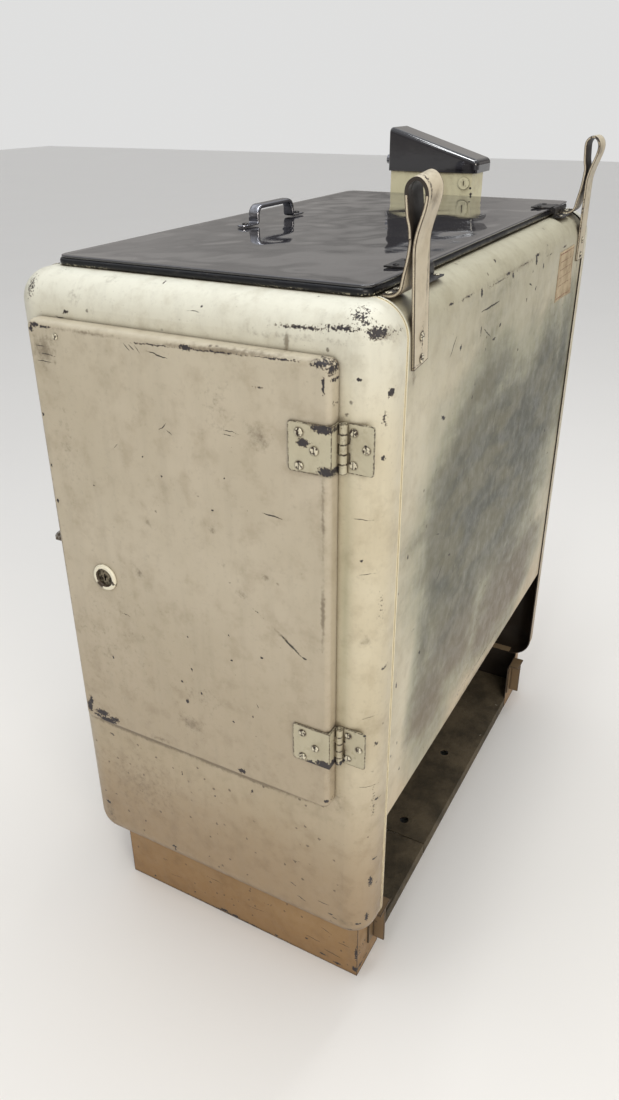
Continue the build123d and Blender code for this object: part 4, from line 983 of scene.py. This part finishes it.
def lid_handle_bar():
    """Chromed pull: a rounded bar bent into a loop, with feet beaten flat."""
    low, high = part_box("lid_handle")
    foot_thick = 0.0024
    bar_thick = 0.0062
    foot_length = 0.030
    wide = high.y - low.y
    mid_y = (low.y + high.y) / 2
    foot_z = low.z + foot_thick / 2
    bar_z = high.z - bar_thick / 2
    leg = bar_thick / 2
    corners = [
        Vector((low.x, 0, foot_z)), Vector((low.x + foot_length + leg, 0, foot_z)),
        Vector((low.x + foot_length + leg + 0.001, 0, bar_z)),
        Vector((high.x - foot_length - leg - 0.001, 0, bar_z)),
        Vector((high.x - foot_length - leg, 0, foot_z)), Vector((high.x, 0, foot_z)),
    ]
    bends = bent_path(corners, (0.0034, 0.0110, 0.0110, 0.0034))
    path = []
    for a, b in zip(bends, bends[1:]):
        cuts = max(1, round((b - a).length / 0.004))
        path += [a.lerp(b, k / cuts) for k in range(cuts)]
    path.append(bends[-1])
    around = 20
    points = []
    faces = []
    for k, spot in enumerate(path):
        ahead = path[min(k + 1, len(path) - 1)]
        behind = path[max(k - 1, 0)]
        run = (ahead - behind).normalized()
        out = Vector((-run.z, 0, run.x))
        rise = min(1.0, max(0.0, (spot.z - foot_z) / 0.008))
        thick = foot_thick + (bar_thick - foot_thick) * rise
        end_gap = min((spot - path[0]).length, (spot - path[-1]).length) / (wide / 2)
        round_off = math.sqrt(1 - (1 - min(1.0, end_gap + 0.06)) ** 2)
        power = 2 / (6 - 3 * rise)
        for n in range(around):
            angle = 2 * math.pi * n / around
            c, d = math.cos(angle), math.sin(angle)
            y = math.copysign(abs(c) ** power, c) * wide / 2 * round_off
            lift = math.copysign(abs(d) ** power, d) * thick / 2
            point = spot + out * lift
            points.append((point.x, mid_y + y, point.z))
    for k in range(len(path) - 1):
        faces += bridge(k * around, (k + 1) * around, around)
    faces.append(tuple(range(around - 1, -1, -1)))
    faces.append(tuple(range((len(path) - 1) * around, len(path) * around)))
    return piece("lid_handle_bar", points, faces, chrome, "lid", "lid_handle")


def lock_collar():
    """Turned collar round the lock: a rolled lip that falls away into the cup."""
    low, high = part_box("door_lock_ring")
    middle = (low + high) / 2
    rise = high.x - low.x
    outer = (high.y - low.y) / 2
    profile = (
        (1.00, 0.00), (1.00, 0.40), (0.96, 0.74), (0.89, 0.95), (0.81, 1.00), (0.73, 0.95),
        (0.67, 0.76), (0.635, 0.48), (0.622, 0.10), (0.622, 0.00),
    )
    around = 56
    points = []
    faces = []
    for radius, share in profile:
        for k in range(around):
            angle = 2 * math.pi * k / around
            y = middle.y + outer * radius * math.cos(angle)
            z = middle.z + outer * radius * math.sin(angle)
            points.append((low.x + rise * share, y, z))
    for k in range(len(profile)):
        faces += bridge(k * around, (k + 1) % len(profile) * around, around)
    return piece("lock_collar", points, faces, lock_ring, "door", "door_lock_ring")


def back_label():
    """Old paper label, stuck on flat with one corner and its lower edge lifting."""
    low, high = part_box("label")
    columns, rows = 24, 20
    thick = high.y - low.y
    points = []
    for side in (0, 1):
        for j in range(rows + 1):
            for i in range(columns + 1):
                u, v = i / columns, j / rows
                x = low.x + (high.x - low.x) * u
                z = low.z + (high.z - low.z) * v
                curl = max(0.0, 0.42 - u) * max(0.0, 0.5 - v) * 0.012
                wrinkle = 0.00025 * max(0.0, noise.noise(Vector((x * 60, z * 60, 2.0))))
                edge = 0.0006 * noise.noise(Vector((x * 130, z * 130, 9.0)))
                worn = edge if i in (0, columns) or j in (0, rows) else 0.0
                points.append((x + worn, low.y + curl + wrinkle + thick * side, z + worn))
    size = (columns + 1) * (rows + 1)
    faces = []
    for a, b, c, d in grid_quads(columns, rows):
        faces.append((a, b, c, d))
        faces.append((size + a, size + d, size + c, size + b))
    rim = grid_edge(columns, rows)
    for k, a in enumerate(rim):
        b = rim[(k + 1) % len(rim)]
        faces.append((b, a, size + a, size + b))
    return piece("paper_label", points, faces, label_paper, "cabinet", "label")


lid_sheet()
rim_band()
lid_handle_bar()
lock_collar()
back_label()

# ---- camera
CAMERA_AT = (1056.6, 511.45, 1066.3)
LOOK = Vector((-0.7731, -0.4309, -0.4654))
RIGHT = Vector((-0.4829, 0.8756, -0.0086))
camera_data = bpy.data.cameras.new("camera")
camera_data.sensor_width = 36.0
camera_data.lens = 28.30
camera_data.shift_x = 0.0045
camera_data.shift_y = -0.0077
camera = bpy.data.objects.new("camera", camera_data)
bpy.context.scene.collection.objects.link(camera)
look = LOOK.normalized()
right = (RIGHT - look * RIGHT.dot(look)).normalized()
up = right.cross(look)
turn = Matrix((right, up, -look)).transposed().to_4x4()
turn.translation = at(*CAMERA_AT)
camera.matrix_world = turn
bpy.context.scene.camera = camera

# ---- floor and light
bpy.context.scene.view_settings.view_transform = "Standard"
bpy.context.scene.view_settings.look = "None"

FLOOR_HALF = 14.0
floor_mesh = bpy.data.meshes.new("floor")
floor_mesh.from_pydata(
    [(FLOOR_HALF * x, FLOOR_HALF * y, 0) for x, y in ((-1, -1), (1, -1), (1, 1), (-1, 1))],
    [],
    [(0, 1, 2, 3)],
)
floor = bpy.data.objects.new("floor", floor_mesh)
floor.location.z = -0.0005
bpy.context.scene.collection.objects.link(floor)
f = Finish("floor_pale")
f.skin.inputs["Specular IOR Level"].default_value = 0.0
f.colour(f.mix(f.noise(2, 3), (0.84, 0.815, 0.785, 1), (0.86, 0.835, 0.805, 1)))
f.rough(0.9)
floor_mesh.materials.append(f.material)

world = bpy.data.worlds.new("studio")
world.use_nodes = True
bpy.context.scene.world = world
tree = world.node_tree
tree.nodes.clear()


def world_node(kind, **settings):
    """A node of the studio's surroundings."""
    node = tree.nodes.new(kind)
    for key, value in settings.items():
        setattr(node, key, value)
    return node


def world_range(value, low, high, to_low=0.0, to_high=1.0):
    """A value carried from one range to another."""
    node = world_node("ShaderNodeMapRange")
    for key, v in zip(("From Min", "From Max", "To Min", "To Max"), (low, high, to_low, to_high)):
        node.inputs[key].default_value = v
    tree.links.new(value, node.inputs["Value"])
    return node


# Dim and warm near the horizon, bright and cool overhead, and brighter towards -Y.
where = world_node("ShaderNodeTexCoord").outputs["Generated"]
split = world_node("ShaderNodeSeparateXYZ")
tree.links.new(where, split.inputs[0])
fade = world_range(split.outputs[2], 0.25, 0.95)
tint = world_node("ShaderNodeMix", data_type="RGBA")
tint.inputs[6].default_value = (0.33, 0.315, 0.30, 1)
tint.inputs[7].default_value = (1.18, 1.22, 1.26, 1)
tree.links.new(fade.outputs[0], tint.inputs[0])
side = world_range(split.outputs[1], -0.9, 0.4, 1.05, 0.72)
room = world_node("ShaderNodeMapping")
room.inputs["Scale"].default_value = (2.2, 2.2, 13.0)
tree.links.new(where, room.inputs["Vector"])
patches = world_node("ShaderNodeTexNoise")
patches.inputs["Scale"].default_value = 1.0
patches.inputs["Detail"].default_value = 4.0
tree.links.new(room.outputs[0], patches.inputs["Vector"])
uneven = world_range(patches.outputs[0], 0.38, 0.62, 0.55, 1.35)
strength = world_node("ShaderNodeMath", operation="MULTIPLY")
tree.links.new(side.outputs[0], strength.inputs[0])
tree.links.new(uneven.outputs[0], strength.inputs[1])
sky = world_node("ShaderNodeBackground")
tree.links.new(tint.outputs[2], sky.inputs["Color"])
tree.links.new(strength.outputs[0], sky.inputs["Strength"])
backdrop = world_node("ShaderNodeBackground")
backdrop.inputs["Color"].default_value = (0.74, 0.74, 0.735, 1)
seen = world_node("ShaderNodeLightPath").outputs["Is Camera Ray"]
choose = world_node("ShaderNodeMixShader")
tree.links.new(seen, choose.inputs[0])
tree.links.new(sky.outputs[0], choose.inputs[1])
tree.links.new(backdrop.outputs[0], choose.inputs[2])
tree.links.new(choose.outputs[0], world_node("ShaderNodeOutputWorld").inputs["Surface"])


def area_light(name, place, aim, width, depth, power, colour):
    """A soft rectangular lamp, its depth lying along the Y axis when it points down."""
    data = bpy.data.lights.new(name, "AREA")
    data.shape = "RECTANGLE"
    data.size = width
    data.size_y = depth
    data.energy = power
    data.color = colour
    lamp = bpy.data.objects.new(name, data)
    lamp.location = place
    lamp.rotation_mode = "QUATERNION"
    lamp.rotation_quaternion = (Vector(aim) - Vector(place)).to_track_quat("-Z", "Y")
    bpy.context.scene.collection.objects.link(lamp)


COOL = (0.97, 0.99, 1.0)
WARM = (1.0, 0.93, 0.82)
# Width and depth in metres, watts, colour.
TUBE = (0.12, 3.0, 17, COOL)
FILL = (1.5, 1.5, 44, WARM)
area_light("tube_a", (1.0, 0.2, 3.0), (0.6, 0.1, 0.5), *TUBE)
area_light("tube_b", (-0.3, 0.2, 3.0), (0.0, 0.1, 0.5), *TUBE)
area_light("corner_fill", (2.3, 2.5, 1.7), (0.25, 0.15, 0.5), *FILL)
